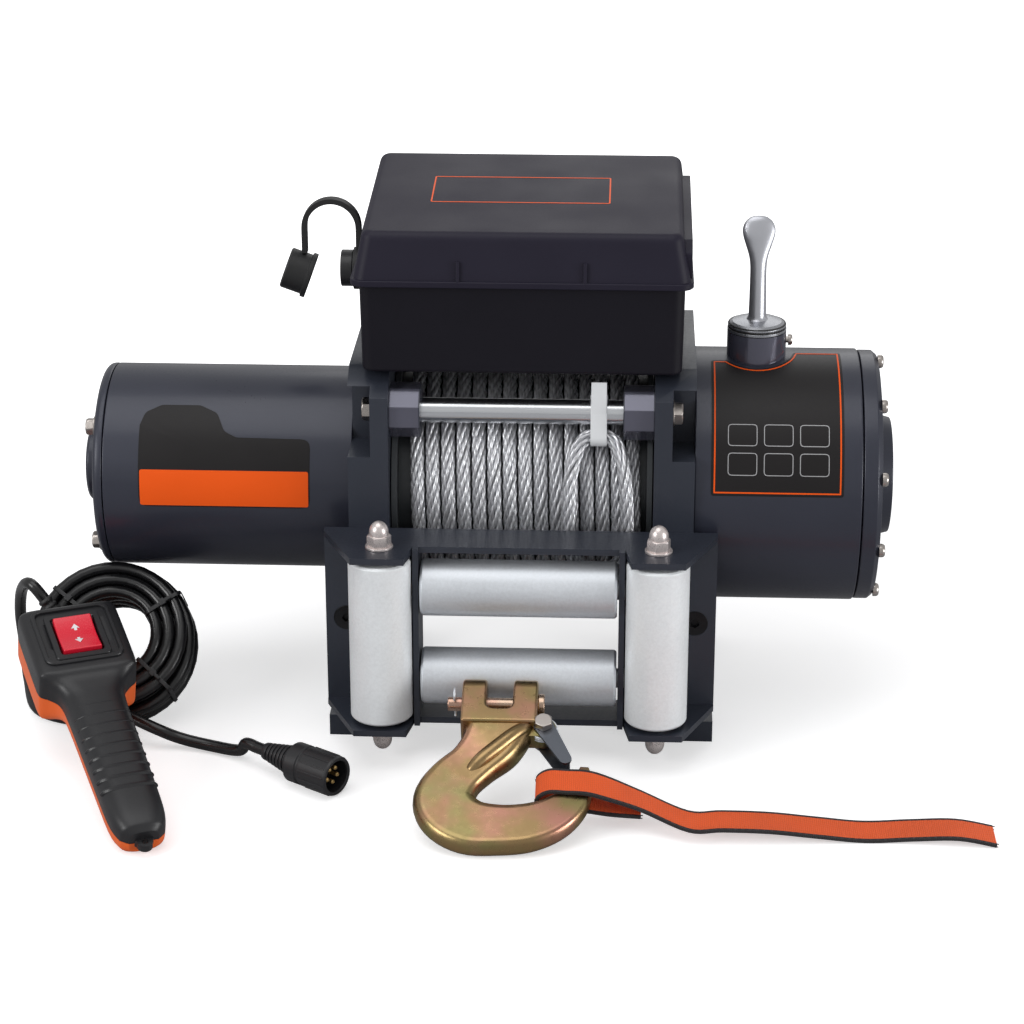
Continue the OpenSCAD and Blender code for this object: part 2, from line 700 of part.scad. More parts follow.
coupling_x = -sup_in + face_gap;
slot_n = 12;
slot_w = 5;
slot_h = 14;
commutator_share = 0.48;
winding_share = 0.82;
commutator_l = 18;
winding_l = 8;
module armature() color("#a4683c") {
  on_axis(bell_x - bell_t / 2) cylinder(d = shaft_d, h = coupling_x - bell_x + bell_t / 2);
  on_axis(core_x) difference() {
    cylinder(d = armature_d, h = armature_l);
    for (k = [0:slot_n - 1]) rotate(360 * k / slot_n)
      translate([armature_d / 2 - slot_h, -slot_w / 2, -cut]) cube([slot_h + cut, slot_w, armature_l + 2 * cut]);
  }
  on_axis(core_x - winding_l) cylinder(d = armature_d * winding_share * 0.8, h = armature_l + 2 * winding_l);
  on_axis(core_x - winding_l - commutator_l) cylinder(d = armature_d * commutator_share, h = commutator_l);
}

// Gearbox

sleeve_d = journal_bore_d - 2 * face_gap;
sleeve_l = 22;
module drive_shaft() color("#9ba0a6") {
  on_axis(coupling_x) cylinder(d = shaft_d, h = gear_x + gear_w - coupling_x);
  on_axis(coupling_x - sleeve_l / 2) ring(sleeve_d / 2, shaft_d / 2 + run_fit, sleeve_l / 2);
  on_axis(coupling_x) cylinder(d = sleeve_d, h = sleeve_l / 2);
}

gearbox_bore_r = journal_d / 2 + 2 * edge;
cover_bolt_d = 5;
cover_bolt_r = gearbox_d / 2 - gearbox_wall / 2;
cover_bolt_l = 14;
module gearbox_housing() color("#3e4450") difference() {
  on_axis(gearbox_x) cylinder(d = gearbox_d, h = gearbox_l);
  on_axis(gearbox_x + gearbox_end_t) cylinder(r = cavity_r, h = gearbox_l);
  on_axis(gearbox_x - cut) cylinder(r = gearbox_bore_r, h = gearbox_end_t + 2 * cut);
  translate([clutch_x, 0, axis_h]) cylinder(d = spindle_d + 2 * run_fit, h = gearbox_d);
  for (k = [0:cover_screws_n - 1]) on_axis(cover_x - cover_bolt_l)
    rotate(360 * (k + 0.5) / cover_screws_n) translate([cover_bolt_r, 0, 0])
      cylinder(d = cover_bolt_d + 2 * seat_fit, h = cover_bolt_l + cut);
}

ring_gear_w = gear_w + 2 * edge;
module ring_gear() color("#8d9298") on_axis(gear_x - edge) linear_extrude(ring_gear_w) difference() {
  circle(r = cavity_r - seat_fit);
  rotate(180 / ring_n) polygon(toothed(
    ring_n, gear_m * (ring_n / 2 - tip_shares[0]), gear_m * (ring_n / 2 + tip_shares[1]), -gear_slack
  ));
}

module gear_blank(n, bore_d) difference() {
  polygon(toothed(n, gear_m * (n / 2 - tip_shares[1]), gear_m * (n / 2 + tip_shares[0]), gear_slack));
  circle(d = bore_d);
}
module sun_gear() color("#b4b8bd") on_axis(gear_x) linear_extrude(gear_w)
  gear_blank(sun_n, shaft_d + 2 * run_fit);
module planet_gear(k) on_axis(gear_x) rotate(120 * k) translate([centre_r, 0, 0])
  rotate(180 / planet_n - 120 * k) linear_extrude(gear_w) gear_blank(planet_n, planet_pin_d + 2 * run_fit);
module planet_gear_1() color("#a9adb3") planet_gear(0);
module planet_gear_2() color("#a9adb3") planet_gear(1);
module planet_gear_3() color("#a9adb3") planet_gear(2);

module planet_carrier() color("#7f858c") {
  on_axis(carrier_x) ring(carrier_r, journal_bore_d / 2, carrier_t);
  on_axis(carrier_end_x) ring(carrier_r, gear_m * (sun_n / 2 + tip_shares[0]) + face_gap, carrier_end_t);
  for (k = [0:2]) on_axis(carrier_x + carrier_t) rotate(120 * k) {
    translate([centre_r, 0, 0]) cylinder(d = planet_pin_d, h = carrier_end_x - carrier_x - carrier_t);
    rotate(60) translate([centre_r, 0, 0])
      cylinder(d = planet_pin_d, h = carrier_end_x - carrier_x - carrier_t);
  }
}

cover_edge = 3;
hub_rim_share = 0.76;
hub_recess = 3;
cover_spigot = 4;
module gearbox_cover() color("#333b46") difference() {
  on_axis(cover_x) rotate_extrude() polygon([
    [0, -cover_spigot], [cavity_r - seat_fit, -cover_spigot], [cavity_r - seat_fit, 0],
    [gearbox_d / 2 - 0.5 * edge, 0],
    [gearbox_d / 2 - 0.5 * edge, cover_t - cover_edge], [gearbox_d / 2 - cover_edge, cover_t],
    [cover_hub_d / 2, cover_t], [cover_hub_d / 2 - edge, cover_t + cover_hub_h],
    [cover_hub_d / 2 * hub_rim_share, cover_t + cover_hub_h],
    [cover_hub_d / 2 * hub_rim_share - edge, cover_t + cover_hub_h - hub_recess],
    [0, cover_t + cover_hub_h - hub_recess]
  ]);
  for (k = [0:cover_screws_n - 1]) on_axis(cover_x - cut)
    rotate(360 * (k + 0.5) / cover_screws_n) translate([cover_bolt_r, 0, 0])
      cylinder(d = cover_bolt_d + 2 * seat_fit, h = cover_t + 2 * cut);
}
screw_head_d = 8.5;
screw_head_h = 3.4;
module cover_screws() color("#c9c3bd") for (k = [0:cover_screws_n - 1])
  on_axis(cover_x - cover_bolt_l + cut) rotate(360 * (k + 0.5) / cover_screws_n)
    translate([cover_bolt_r, 0, 0]) {
      cylinder(d = cover_bolt_d, h = cover_bolt_l - cut + cover_t);
      translate([0, 0, cover_bolt_l - cut + cover_t]) cylinder(d = screw_head_d, h = screw_head_h);
    }

// Clutch

module clutch_boss() color("#2b2f37") difference() {
  translate([clutch_x, 0, axis_h + cavity_r]) cylinder(d = clutch_d, h = clutch_top - cavity_r);
  on_axis(clutch_x - clutch_d) cylinder(r = gearbox_d / 2 + seat_fit / 2, h = 2 * clutch_d);
  translate([clutch_x, 0, axis_h]) cylinder(d = spindle_d + 2 * run_fit, h = clutch_top + cut);
  translate([clutch_x, 0, axis_h + clutch_screw_z]) rotate([0, 90, 0])
    cylinder(d = clutch_screw_d + 2 * seat_fit, h = clutch_d);
}
clutch_screw_z = (clutch_top + gearbox_d / 2) / 2 + 1.5;
clutch_screw_d = 4;
module clutch_screw() color("#b9a99c")
  translate([clutch_x + spindle_d / 2 + edge, 0, axis_h + clutch_screw_z]) rotate([0, 90, 0]) {
    cylinder(d = clutch_screw_d, h = clutch_d / 2 - spindle_d / 2);
    translate([0, 0, clutch_d / 2 - spindle_d / 2]) cylinder(d = clutch_screw_d * 1.75, h = clutch_screw_d * 0.6);
  }

neck_d = lever_d + 0.5;
cap_z = clutch_top + 0.3;
groove = 0.8;
module clutch_cap() color("#aeb2b6") translate([clutch_x, 0, axis_h + cap_z]) rotate_extrude() polygon([
  [neck_d / 2 + run_fit, 0], [clutch_d / 2, 0], [clutch_d / 2, groove * 1.5], [clutch_d / 2 - groove, groove * 2],
  [clutch_d / 2 - groove, groove * 3], [clutch_d / 2, groove * 3.5], [clutch_d / 2 - groove, clutch_cap_h * 0.7],
  [clutch_d / 2 * 0.8, clutch_cap_h * 0.9], [clutch_d / 2 * 0.6, clutch_cap_h], [neck_d / 2 + run_fit, clutch_cap_h]
]);

lever_foot = cap_z + clutch_cap_h;
lever_h = lever_top - lever_foot;
lever_shares = [
  // height, lean, half width, half depth
  [0, 0, 1, 1], [0.12, 0.06, 0.86, 0.86], [0.35, 0.26, 0.78, 0.78], [0.52, 0.45, 0.80, 0.74],
  [0.62, 0.56, 1.00, 0.66], [0.74, 0.70, 1.45, 0.60], [0.86, 0.84, 1.78, 0.58], [0.95, 0.94, 1.50, 0.50],
  [1, 1, 0.60, 0.28]
];
module clutch_lever() color("#a9adb2") translate([clutch_x, 0, axis_h]) {
  translate([0, 0, cavity_r + 2 * seat_fit]) cylinder(d = spindle_d, h = cap_z - cavity_r - 2 * seat_fit);
  translate([0, 0, cap_z - cut]) cylinder(d = neck_d, h = clutch_cap_h + cut);
  skin([
    for (s = lever_shares)
      let (
        a = (s[2] > 1 ? lever_d + (paddle_w - lever_d) * (s[2] - 1) / 0.78 : lever_d * s[2]) / 2,
        b = lever_d / 2 * s[3]
      )
      [for (k = [0:15]) [
        a * cos(22.5 * k), lever_lean * s[1] + b * sin(22.5 * k), lever_foot - cut + (lever_h + cut) * s[0]
      ]]
  ]);
}

// Control box

module flat_slab(w, d, r, h) linear_extrude(h) polygon(round_rect(w, d, r));
slab = 0.5;
module draft_box(w0, d0, w1, d1, h, r) hull() {
  flat_slab(w0, d0, r, slab);
  translate([0, 0, h - slab]) flat_slab(w1, d1, r, slab);
}
module control_box_base() color("#232030") difference() {
  translate([0, 0, box_z]) draft_box(box_w, box_d, box_rim_w, box_rim_d, box_h, box_corner);
  translate([0, 0, box_z + box_wall]) draft_box(
    box_w - 2 * box_wall, box_d - 2 * box_wall, box_rim_w - 2 * box_wall, box_rim_d - 2 * box_wall,
    box_h, box_corner - box_wall
  );
  translate([0, socket_y, box_z + socket_z]) rotate([0, -90, 0])
    cylinder(d = socket_d - 2 * box_wall, h = box_w);
  for (p = box_bolt_places) both_sides() translate([p[0], p[1], box_z - cut])
    cylinder(d = box_bolt_d + 2 * bolt_fit, h = box_wall + 2 * cut);
}
module box_screws() color("#b9a99c") for (p = box_bolt_places) both_sides()
  translate([p[0], p[1], box_z - box_bolt_l + cut]) {
    cylinder(d = box_bolt_d, h = box_bolt_l - cut + box_wall);
    translate([0, 0, box_bolt_l - cut + box_wall]) cylinder(d = box_bolt_d * 1.8, h = box_bolt_d * 0.6);
  }

lid_round = 5;
lip = 1.3;
lip_h = 4;
lid_rib_x = 38;
lid_rib_w = 2.2;
lid_rib_h = 13;
module lid_form(inset) {
  w = lid_w - 2 * inset;
  d = lid_d - 2 * inset;
  hull() {
    translate([0, 0, -inset]) flat_slab(w, d, box_corner - inset, slab);
    for (sx = [-1, 1]) {
      translate([sx * (lid_top_w / 2 - inset - lid_round), -lid_top_d / 2 + inset + lid_round,
        lid_front_h - inset - lid_round]) sphere(r = lid_round, $fn = 16);
      translate([sx * (lid_top_w / 2 - inset - lid_round), lid_top_d / 2 - inset - lid_round,
        lid_back_h - inset - lid_round]) sphere(r = lid_round, $fn = 16);
    }
  }
}
module control_box_lid() color("#353246") translate([0, 0, skirt_z]) {
  difference() {
    union() {
      lid_form(0);
      flat_slab(lid_w + 2 * lip, lid_d + 2 * lip, box_corner + lip, lip_h);
    }
    lid_form(lid_wall);
    translate([0, 0, -cut]) flat_slab(lid_w - 2 * lid_wall, lid_d - 2 * lid_wall, box_corner - lid_wall, 2 * cut);
  }
  for (sx = [-1, 1]) translate([sx * lid_rib_x - lid_rib_w / 2, -lid_d / 2 - lip / 2, lip_h - cut])
    rotate([-atan2(lid_d / 2 - lid_top_d / 2, lid_front_h), 0, 0]) cube([lid_rib_w, lid_wall, lid_rib_h]);
}

contactor_size = [70, 46, 44];
stud_d = 7;
stud_h = 10;
module contactor() color("#4b4e54") translate([0, 0, box_z + box_wall]) {
  translate([-contactor_size[0] / 2, -contactor_size[1] / 2, 0]) cube(contactor_size);
  for (sx = [-1, 1], sy = [-1, 1])
    translate([sx * contactor_size[0] / 3, sy * contactor_size[1] / 4, contactor_size[2] - cut])
      cylinder(d = stud_d, h = stud_h + cut);
}

// Socket for the remote, on the box's left side, and its hanging cap
socket_side = box_w / 2 + (box_rim_w - box_w) / 2 * socket_z / box_h;
socket_flange_d = socket_d + 5;
socket_flange_t = 3;
socket_wall = 2.4;
module remote_socket() color("#1c1c20") translate([-socket_side - 0.4, socket_y, box_z + socket_z])
  rotate([0, -90, 0]) {
    difference() {
      union() {
        cylinder(d = socket_flange_d, h = socket_flange_t);
        cylinder(d = socket_d, h = socket_l);
      }
      translate([0, 0, socket_flange_t]) cylinder(d = socket_d - 2 * socket_wall, h = socket_l);
    }
  }

strap_r = 17;
strap_band = 7;
strap_band_t = 2.2;
cap_d = socket_d + 3;
cap_l = 17;
cap_wall = 1.8;
collar_x = -socket_side - socket_flange_t - strap_band / 2 - 0.7;
module socket_cap() color("#18181b") translate([collar_x, socket_y, box_z + socket_z]) {
  rotate([0, -90, 0]) translate([0, 0, -strap_band / 2]) ring(socket_d / 2 + 1.8, socket_d / 2 + seat_fit, strap_band);
  translate([0, 0, socket_d / 2 + 1]) {
    translate([-strap_band_t / 2, -strap_band / 2, 0]) cube([strap_band_t, strap_band, strap_rise + cut]);
    translate([-strap_r, 0, strap_rise]) rotate([90, 0, 0]) translate([0, 0, -strap_band / 2])
      rotate_extrude(angle = 180) translate([strap_r - strap_band_t / 2, 0]) square([strap_band_t, strap_band]);
    translate([-2 * strap_r - strap_band_t / 2, -strap_band / 2, cap_drop])
      cube([strap_band_t, strap_band, strap_rise - cap_drop + cut]);
  }
  translate([-2 * strap_r, 0, socket_d / 2 + 1 + cap_drop]) rotate([0, 20, 0]) translate([0, 0, -cap_d / 2])
    rotate([0, -90, 0]) translate([0, 0, -cap_l / 2]) difference() {
      union() {
        cylinder(d = cap_d, h = cap_l);
        cylinder(d = cap_d + 3, h = 3);
      }
      translate([0, 0, -cut]) cylinder(d = cap_d - 2 * cap_wall, h = cap_l - cap_wall + cut);
    }
}
strap_rise = 14;
cap_drop = -3;

// Roller fairlead

module flange_outline() polygon([
  [-fair_w / 2, fair_back], [-fair_w / 2, fair_front - edge], [-up_x - up_d * 0.42, fair_front - fair_ear_y],
  [-up_x + up_d * 0.42, fair_front - fair_ear_y], [-ear_out, fair_front - fair_mid_y],
  [ear_out, fair_front - fair_mid_y], [up_x - up_d * 0.42, fair_front - fair_ear_y],
  [up_x + up_d * 0.42, fair_front - fair_ear_y], [fair_w / 2, fair_front - edge], [fair_w / 2, fair_back]
]);
csk_r = fair_bolt_d * 1.02;
module fairlead_frame() color("#2a303b") difference() {
  union() {
    translate([-fair_w / 2, fair_front, fair_lo]) cube([fair_w, fair_t, fair_h]);
    for (z = [fair_lo, fair_hi - fair_t]) translate([0, 0, z]) linear_extrude(fair_t) flange_outline();
    both_sides() translate([level_in, level_py - pin_d, fair_lo])
      cube([ear_t, fair_front - level_py + pin_d + cut, fair_h]);
  }
  translate([-level_in, fair_front - cut, fair_lo + fair_t])
    cube([2 * level_in, fair_t + 2 * cut, fair_h - 2 * fair_t]);
  both_sides() {
    translate([up_x, up_py, fair_lo - cut]) cylinder(d = nut_thread_d + 2 * seat_fit, h = fair_h + 2 * cut);
    for (z = level_heights) translate([level_in - cut, level_py, z]) rotate([0, 90, 0])
      cylinder(d = pin_d + 2 * run_fit, h = ear_t + 2 * cut);
    translate([fair_bolt_x, fair_back + cut, fair_mid]) rotate([90, 0, 0]) {
      cylinder(d = fair_bolt_d + 2 * bolt_fit, h = fair_t + 2 * cut);
      translate([0, 0, cut]) cylinder(r1 = fair_bolt_d / 2 + bolt_fit, r2 = csk_r + bolt_fit, h = fair_t);
      translate([0, 0, cut + fair_t - seat_fit]) cylinder(r = csk_r + bolt_fit, h = cut);
    }
  }
}
level_heights = [fair_mid - level_pitch / 2, fair_mid + level_pitch / 2];

module roller(d, l) rotate_extrude() polygon([
  [pin_d / 2 + run_fit, 0], [d / 2 - edge, 0], [d / 2, edge], [d / 2, l - edge], [d / 2 - edge, l],
  [pin_d / 2 + run_fit, l]
]);
up_z = fair_mid - up_l / 2;
module roller_left() color("#c3c8ce") translate([-up_x, up_py, up_z]) roller(up_d, up_l);
module roller_right() color("#c3c8ce") translate([up_x, up_py, up_z]) roller(up_d, up_l);
module level_roller(z) translate([-level_l / 2, level_py, z]) rotate([0, 90, 0]) roller(level_d, level_l);
module roller_upper() color("#c3c8ce") level_roller(level_heights[1]);
module roller_lower() color("#c3c8ce") level_roller(level_heights[0]);

collar_d = pin_d + 5;
thread_l = 12;
pin_over = 0.3;
module roller_pins() color("#b7bcc2") {
  both_sides() translate([up_x, up_py, 0]) {
    translate([0, 0, fair_lo + fair_t]) cylinder(d = pin_d, h = fair_h - 2 * fair_t);
    translate([0, 0, fair_lo - thread_l]) cylinder(d = nut_thread_d, h = fair_h + 2 * thread_l);
    translate([0, 0, fair_lo + fair_t]) cylinder(d = collar_d, h = collar_t);
    translate([0, 0, fair_hi - fair_t - collar_t]) cylinder(d = collar_d, h = collar_t);
  }
  for (z = level_heights) translate([0, level_py, z]) rotate([0, 90, 0])
    cylinder(d = pin_d, h = 2 * (ear_out + pin_over), center = true);
}

nut_r = nut_af / 2 / cos(30);
nut_hex_share = 0.42;
module acorn_nut() {
  difference() {
    union() {
      cylinder(d = nut_af * 1.3, h = washer_t);
      translate([0, 0, washer_t]) cylinder(r = nut_r, h = nut_h * nut_hex_share, $fn = 6);
      translate([0, 0, washer_t + nut_h * nut_hex_share]) rotate_extrude() polygon(concat(
        [[0, -cut], [nut_af * 0.46, -cut], [nut_af * 0.46, nut_h * 0.14]],
        [for (i = [1:6]) [nut_af * 0.46 * cos(15 * i), nut_h * (0.14 + 0.44 * sin(15 * i))]]
      ));
    }
    translate([0, 0, -cut]) cylinder(d = nut_thread_d + 2 * seat_fit, h = thread_l + 2 * cut);
  }
}
module acorn_nuts() color("#bfb0a6") both_sides() {
  translate([up_x, up_py, fair_hi]) acorn_nut();
  translate([up_x, up_py, fair_lo]) mirror([0, 0, 1]) acorn_nut();
}

module fairlead_bolts() color("#15161a") both_sides()
  translate([fair_bolt_x, fair_front + seat_fit, fair_mid]) rotate([-90, 0, 0]) difference() {
    union() {
      cylinder(r1 = csk_r, r2 = fair_bolt_d / 2, h = fair_t);
      cylinder(d = fair_bolt_d, h = fair_t + lug_y - edge);
    }
    translate([0, 0, -cut]) cylinder(d = fair_bolt_d * 0.72, h = fair_t * 0.6 + cut, $fn = 6);
  }

// Hook, drawn on its own plane: x across, y towards the clevis, z out of the face

module on_hook() translate([hook_x, hook_y, hook_z]) rotate([hook_tilt, 0, 0]) children();
function oct_section(c, t, a, b) =
  let (s = [-t[1], t[0]])
  [for (k = [0:11])
    let (q = 30 * k + 15, u = a * cos(q), w = b * min(1, max(-1, 1.25 * sin(q))))
    [c[0] + s[0] * u, c[1] + s[1] * u, w]];
hook_line = [for (h = hook_shares) hook_l * [h[0], h[1]]];
ear_block = 0.2 * hook_l;
module hook_body() color("#b9a04e") on_hook() difference() {
  union() {
    skin([
      for (i = [0:len(hook_shares) - 1])
        let (h = hook_shares[i], t = along(hook_line, i))
        oct_section(hook_line[i], t, hook_l * h[2], hook_l * h[3])
    ]);
    translate([-clevis_w / 2, 0, 0]) rotate([90, 0, 90]) linear_extrude(clevis_w) {
      circle(r = ear_r);
      translate([-ear_block, -ear_r]) square([ear_block, 2 * ear_r]);
      translate([0, -ear_r]) square([ear_over - ear_r, 2 * ear_r]);
      translate([ear_over - ear_r, 0]) circle(r = ear_r);
    }
    translate([latch_u, latch_v, -lug_t / 2]) cylinder(r = lug_r, h = lug_t);
    translate([0, latch_v - lug_r, -lug_t / 2]) cube([latch_u, 2 * lug_r, lug_t]);
  }
  translate([-clevis_gap / 2, -ear_r, -ear_r - cut]) cube([clevis_gap, ear_over + 2 * ear_r, 2 * ear_r + 2 * cut]);
  rotate([0, 90, 0]) cylinder(d = clevis_pin_d + 2 * seat_fit, h = clevis_w + 2 * cut, center = true);
  translate([latch_u, latch_v, 0]) {
    cylinder(d = latch_bolt_d + 2 * seat_fit, h = 2 * lug_t, center = true);
    for (m = [0, 1]) mirror([0, 0, m]) translate([0, 0, lug_t / 2]) cylinder(r = lug_r * 1.2, h = lug_t);
  }
}

pin_head_d = 14;
pin_head_t = 4;
pin_tail = 9;
cotter_d = 2.6;
cotter_x = -clevis_w / 2 - pin_tail / 2;
module clevis_pin() color("#c58f86") on_hook() difference() {
  union() {
    translate([-clevis_w / 2 - pin_tail, 0, 0]) rotate([0, 90, 0])
      cylinder(d = clevis_pin_d, h = clevis_w + pin_tail);
    translate([clevis_w / 2, 0, 0]) rotate([0, 90, 0]) cylinder(d = pin_head_d, h = pin_head_t);
  }
  translate([cotter_x, 0, 0]) cylinder(d = cotter_d + 2 * seat_fit, h = 2 * clevis_pin_d, center = true);
}
module cotter_pin() color("#8d8f78") on_hook() translate([cotter_x, 0, 0]) {
  cylinder(d = cotter_d, h = clevis_pin_d * 1.7, center = true);
  translate([0, 0, clevis_pin_d * 0.85 + cotter_d]) rotate([90, 0, 0]) rotate_extrude()
    translate([cotter_d * 1.1, 0]) circle(d = cotter_d * 0.7, $fn = 16);
}

latch_in_w = lug_t / 2 + 0.35;
module latch_side() hull() {
  cylinder(r = lug_r * 0.8, h = latch_plate_t, $fn = 32);
  translate([latch_l - lug_r * 0.5, 0, 0]) cylinder(r = lug_r * 0.5, h = latch_plate_t, $fn = 32);
}
module hook_latch() color("#8b9097") on_hook() translate([latch_u, latch_v, 0]) rotate(latch_angle) {
  difference() {
    union() {
      translate([0, 0, latch_in_w]) latch_side();
      translate([0, 0, -latch_in_w - latch_plate_t]) latch_side();
      translate([lug_r * 1.5, lug_r * 0.3, -latch_in_w - latch_plate_t])
        cube([latch_l - lug_r * 2.2, latch_plate_t, 2 * latch_in_w + 2 * latch_plate_t]);
    }
    cylinder(d = latch_bolt_d + 2 * run_fit, h = 4 * lug_t, center = true);
  }
}
latch_stack = latch_in_w + latch_plate_t + 0.3;
module latch_bolt() color("#cfd3d8") on_hook() translate([latch_u, latch_v, 0]) {
  cylinder(d = latch_bolt_d, h = 2 * latch_stack + 8, center = true);
  translate([0, 0, latch_stack]) cylinder(d = latch_bolt_d * 1.85, h = 4.5, $fn = 6);
  translate([0, 0, -latch_stack - 3.5]) cylinder(d = latch_bolt_d * 1.85, h = 3.5, $fn = 6);
}

// Pull strap: a flat band sewn into a loop round the hook, then lying out to the right
// Each place: across and height on the hook's plane for the loop, then on the floor
strap_mid = -0.575 * hook_l;
strap_fold = 0.72;
strap_loop = [
  [86, -9], [66, 2], [54, 6.8], [42, 7.6], [32, 7.8], [26, 3.5], [24.5, -2], [29, -7.2], [40, -8],
  [54, -9.5], [68, -12.5], [86, -15.5]
];
function hook_to_world(u, v, w) = [
  hook_x + u, hook_y + v * cos(hook_tilt) - w * sin(hook_tilt), hook_z + v * sin(hook_tilt) + w * cos(hook_tilt)
];
function loop_share(p) = max(0, min(1, (86 - p[0]) / 40));
strap_floor = [[284, -205, 1.6], [262, -204, 5], [236, -202, 3], [208, -202, 1.3], [180, -204, 4.5], [152, -206, 8],
  [124, -207, 9], [104, -207, 8.5]];
strap_route = concat(
  [for (p = strap_floor) [p, [0, 1, 0]]],
  [for (p = strap_loop) [
    hook_to_world(p[0], strap_mid, p[1]),
    unit([0, cos(hook_tilt * loop_share(p)), sin(hook_tilt * loop_share(p))]) * (1 + (strap_fold - 1) * loop_share(p))
  ]]
);
function band_ring(route, i) =
  let (
    p = route[i][0], side = route[i][1],
    t = unit(route[min(i + 1, len(route) - 1)][0] - route[max(i - 1, 0)][0]),
    n = unit(cross(t, side)), h = strap_w / 2, e = strap_t / 2
  )
  [p - side * h - n * e, p + side * h - n * e, p + side * h + n * e, p - side * h + n * e];
module pull_strap() color("#ee5a26") skin([for (i = [0:len(strap_route) - 1]) band_ring(strap_route, i)]);

// Hand remote, drawn on its own frame: y from tail to head, z out of the switch's face

module on_remote() translate(remote_foot) rotate([0, 0, remote_turn]) rotate([remote_tilt, 0, 0]) children();
function remote_ring(s) = [
  for (k = [0:19])
    let (q = -18 * k, c = cos(q), h = sin(q), b = h > 0 ? s[2] : s[3])
    [remote_w / 2 * s[1] * sign(c) * pow(abs(c), 0.6), remote_l * s[0], remote_h / 2 * b * sign(h) * pow(abs(h), 0.6)]
];
module remote_form() skin([for (s = remote_pos) [for (p = remote_ring(s)) p]]);
pocket_d = rocker_z - 6;
split_z = -1.3;
bezel = 4;
module remote_top_shell() color("#1b1b1f") on_remote() difference() {
  union() {
    intersection() {
      remote_form();
      translate([-remote_w, -cut, split_z]) cube([2 * remote_w, remote_l + 2 * cut, remote_h]);
    }
    translate([0, rocker_y, remote_h / 2 - 3]) linear_extrude(4.5)
      polygon(round_rect(rocker_w + 2 * rocker_gap + 2 * bezel, rocker_l + 2 * rocker_gap + 2 * bezel, 3));
  }
  translate([-rocker_w / 2 - rocker_gap, rocker_y - rocker_l / 2 - rocker_gap, pocket_d])
    cube([rocker_w + 2 * rocker_gap, rocker_l + 2 * rocker_gap, remote_h]);
  translate([0, rocker_y, rocker_pin_z]) rotate([0, 90, 0])
    cylinder(d = rocker_pin_d + 2 * run_fit, h = rocker_pin_l + 2 * face_gap, center = true);
}
module remote_bottom_shell() color("#e8541f") on_remote() intersection() {
  remote_form();
  translate([-remote_w, -cut, split_z - remote_h]) cube([2 * remote_w, remote_l + 2 * cut, remote_h]);
}
rocker_rise = 8.2;
module remote_rocker() color("#c9152c") on_remote() {
  translate([-rocker_w / 2, rocker_y, rocker_z]) rotate([90, 0, 90]) linear_extrude(rocker_w) polygon([
    [-rocker_l / 2, 0], [-rocker_l / 2, rocker_rise], [0, rocker_rise * 0.72], [rocker_l / 2, rocker_rise],
    [rocker_l / 2, 0], [rocker_l * 0.2, -rocker_pin_d], [-rocker_l * 0.2, -rocker_pin_d]
  ]);
  translate([0, rocker_y, rocker_pin_z]) rotate([0, 90, 0]) cylinder(d = rocker_pin_d, h = rocker_pin_l, center = true);
}

// Cord: one tube from the handset, wound into a coil that leans on the motor, to the plug

function coil_local(k) =
  let (
    turn = k / coil_rings,
    layer = min(coil_layers - 1, floor(turn / coil_turns)),
    f = turn / coil_turns - layer,
    r = layer % 2 == 0 ? coil_out_r - coil_turns * coil_pitch * f : coil_in_r + coil_turns * coil_pitch * f,
    near = round(turn / coil_turns),
    step = turn - near * coil_turns,
    climb = (near > 0 && near < coil_layers) ? max(-0.25, min(0.25, step)) / 0.5 : (near == 0 ? 0.5 : -0.5),
    z = (near + climb - 0.5) * coil_pitch - coil_h / 2 + coil_pitch / 2,
    a = 270 + 360 * turn
  )
  [r * cos(a), r * sin(a), z];
coil_path = [for (k = [0:coil_layers * coil_turns * coil_rings]) coil_local(k)];
coil_start = coil_path[0] - [cord_d, 0, 0];
coil_end = coil_path[len(coil_path) - 1] + [cord_d, 0, 0];
coil_line = concat([coil_start], coil_path, [coil_end]);
module cord_coil() color("#141416") translate([coil_x, coil_y, coil_z]) rotate([coil_tilt, 0, 0])
  skin(tube_rings(coil_line, cord_r, 6, [0, 0, 1]));
echo(coil_gap = min([
  for (i = [0:2:len(coil_path) - 1], j = [i + coil_rings - 3:1:len(coil_path) - 1]) norm(coil_path[i] - coil_path[j])
]) - cord_d);

remote_dir = [-sin(remote_turn) * cos(remote_tilt), cos(remote_turn) * cos(remote_tilt), sin(remote_tilt)];
remote_exit = remote_foot + remote_l * remote_dir;
lead_route = [
  remote_exit + cord_d * remote_dir, remote_exit + 2 * cord_d * remote_dir + [-4, 0, 1],
  [-311, -60, 90], [-321, -44, 80], [-326, -32, 58], [-325, -30, 34], [-321, -42, 15], [-311, -66, 6],
  coil_to_world(coil_start - [3.4 * cord_d, 0, 0]), coil_to_world(coil_start - [cord_d, 0, 0])
];
plug_turn = -35;
plug_dir = [cos(plug_turn), sin(plug_turn), 0];
plug_place = [-155, -134, 13];
tail_route = [
  coil_to_world(coil_end + [cord_d, 0, 0]), [-228, -106, 13], [-212, -107, 7], [-193, -111, 4.4],
  [-174, -120, 6], plug_place - 2.2 * cord_d * plug_dir, plug_place - cord_d * plug_dir
];
module cord_lead() color("#141416") skin(tube_rings(concat(
  [remote_exit], smooth(lead_route, 4), [coil_to_world(coil_start)]), cord_r, 8, [1, 0.3, 0]));
module cord_tail() color("#141416") skin(tube_rings(concat(
  [coil_to_world(coil_end)], smooth(tail_route, 4), [plug_place]), cord_r, 8, [0, 0.2, 1]));

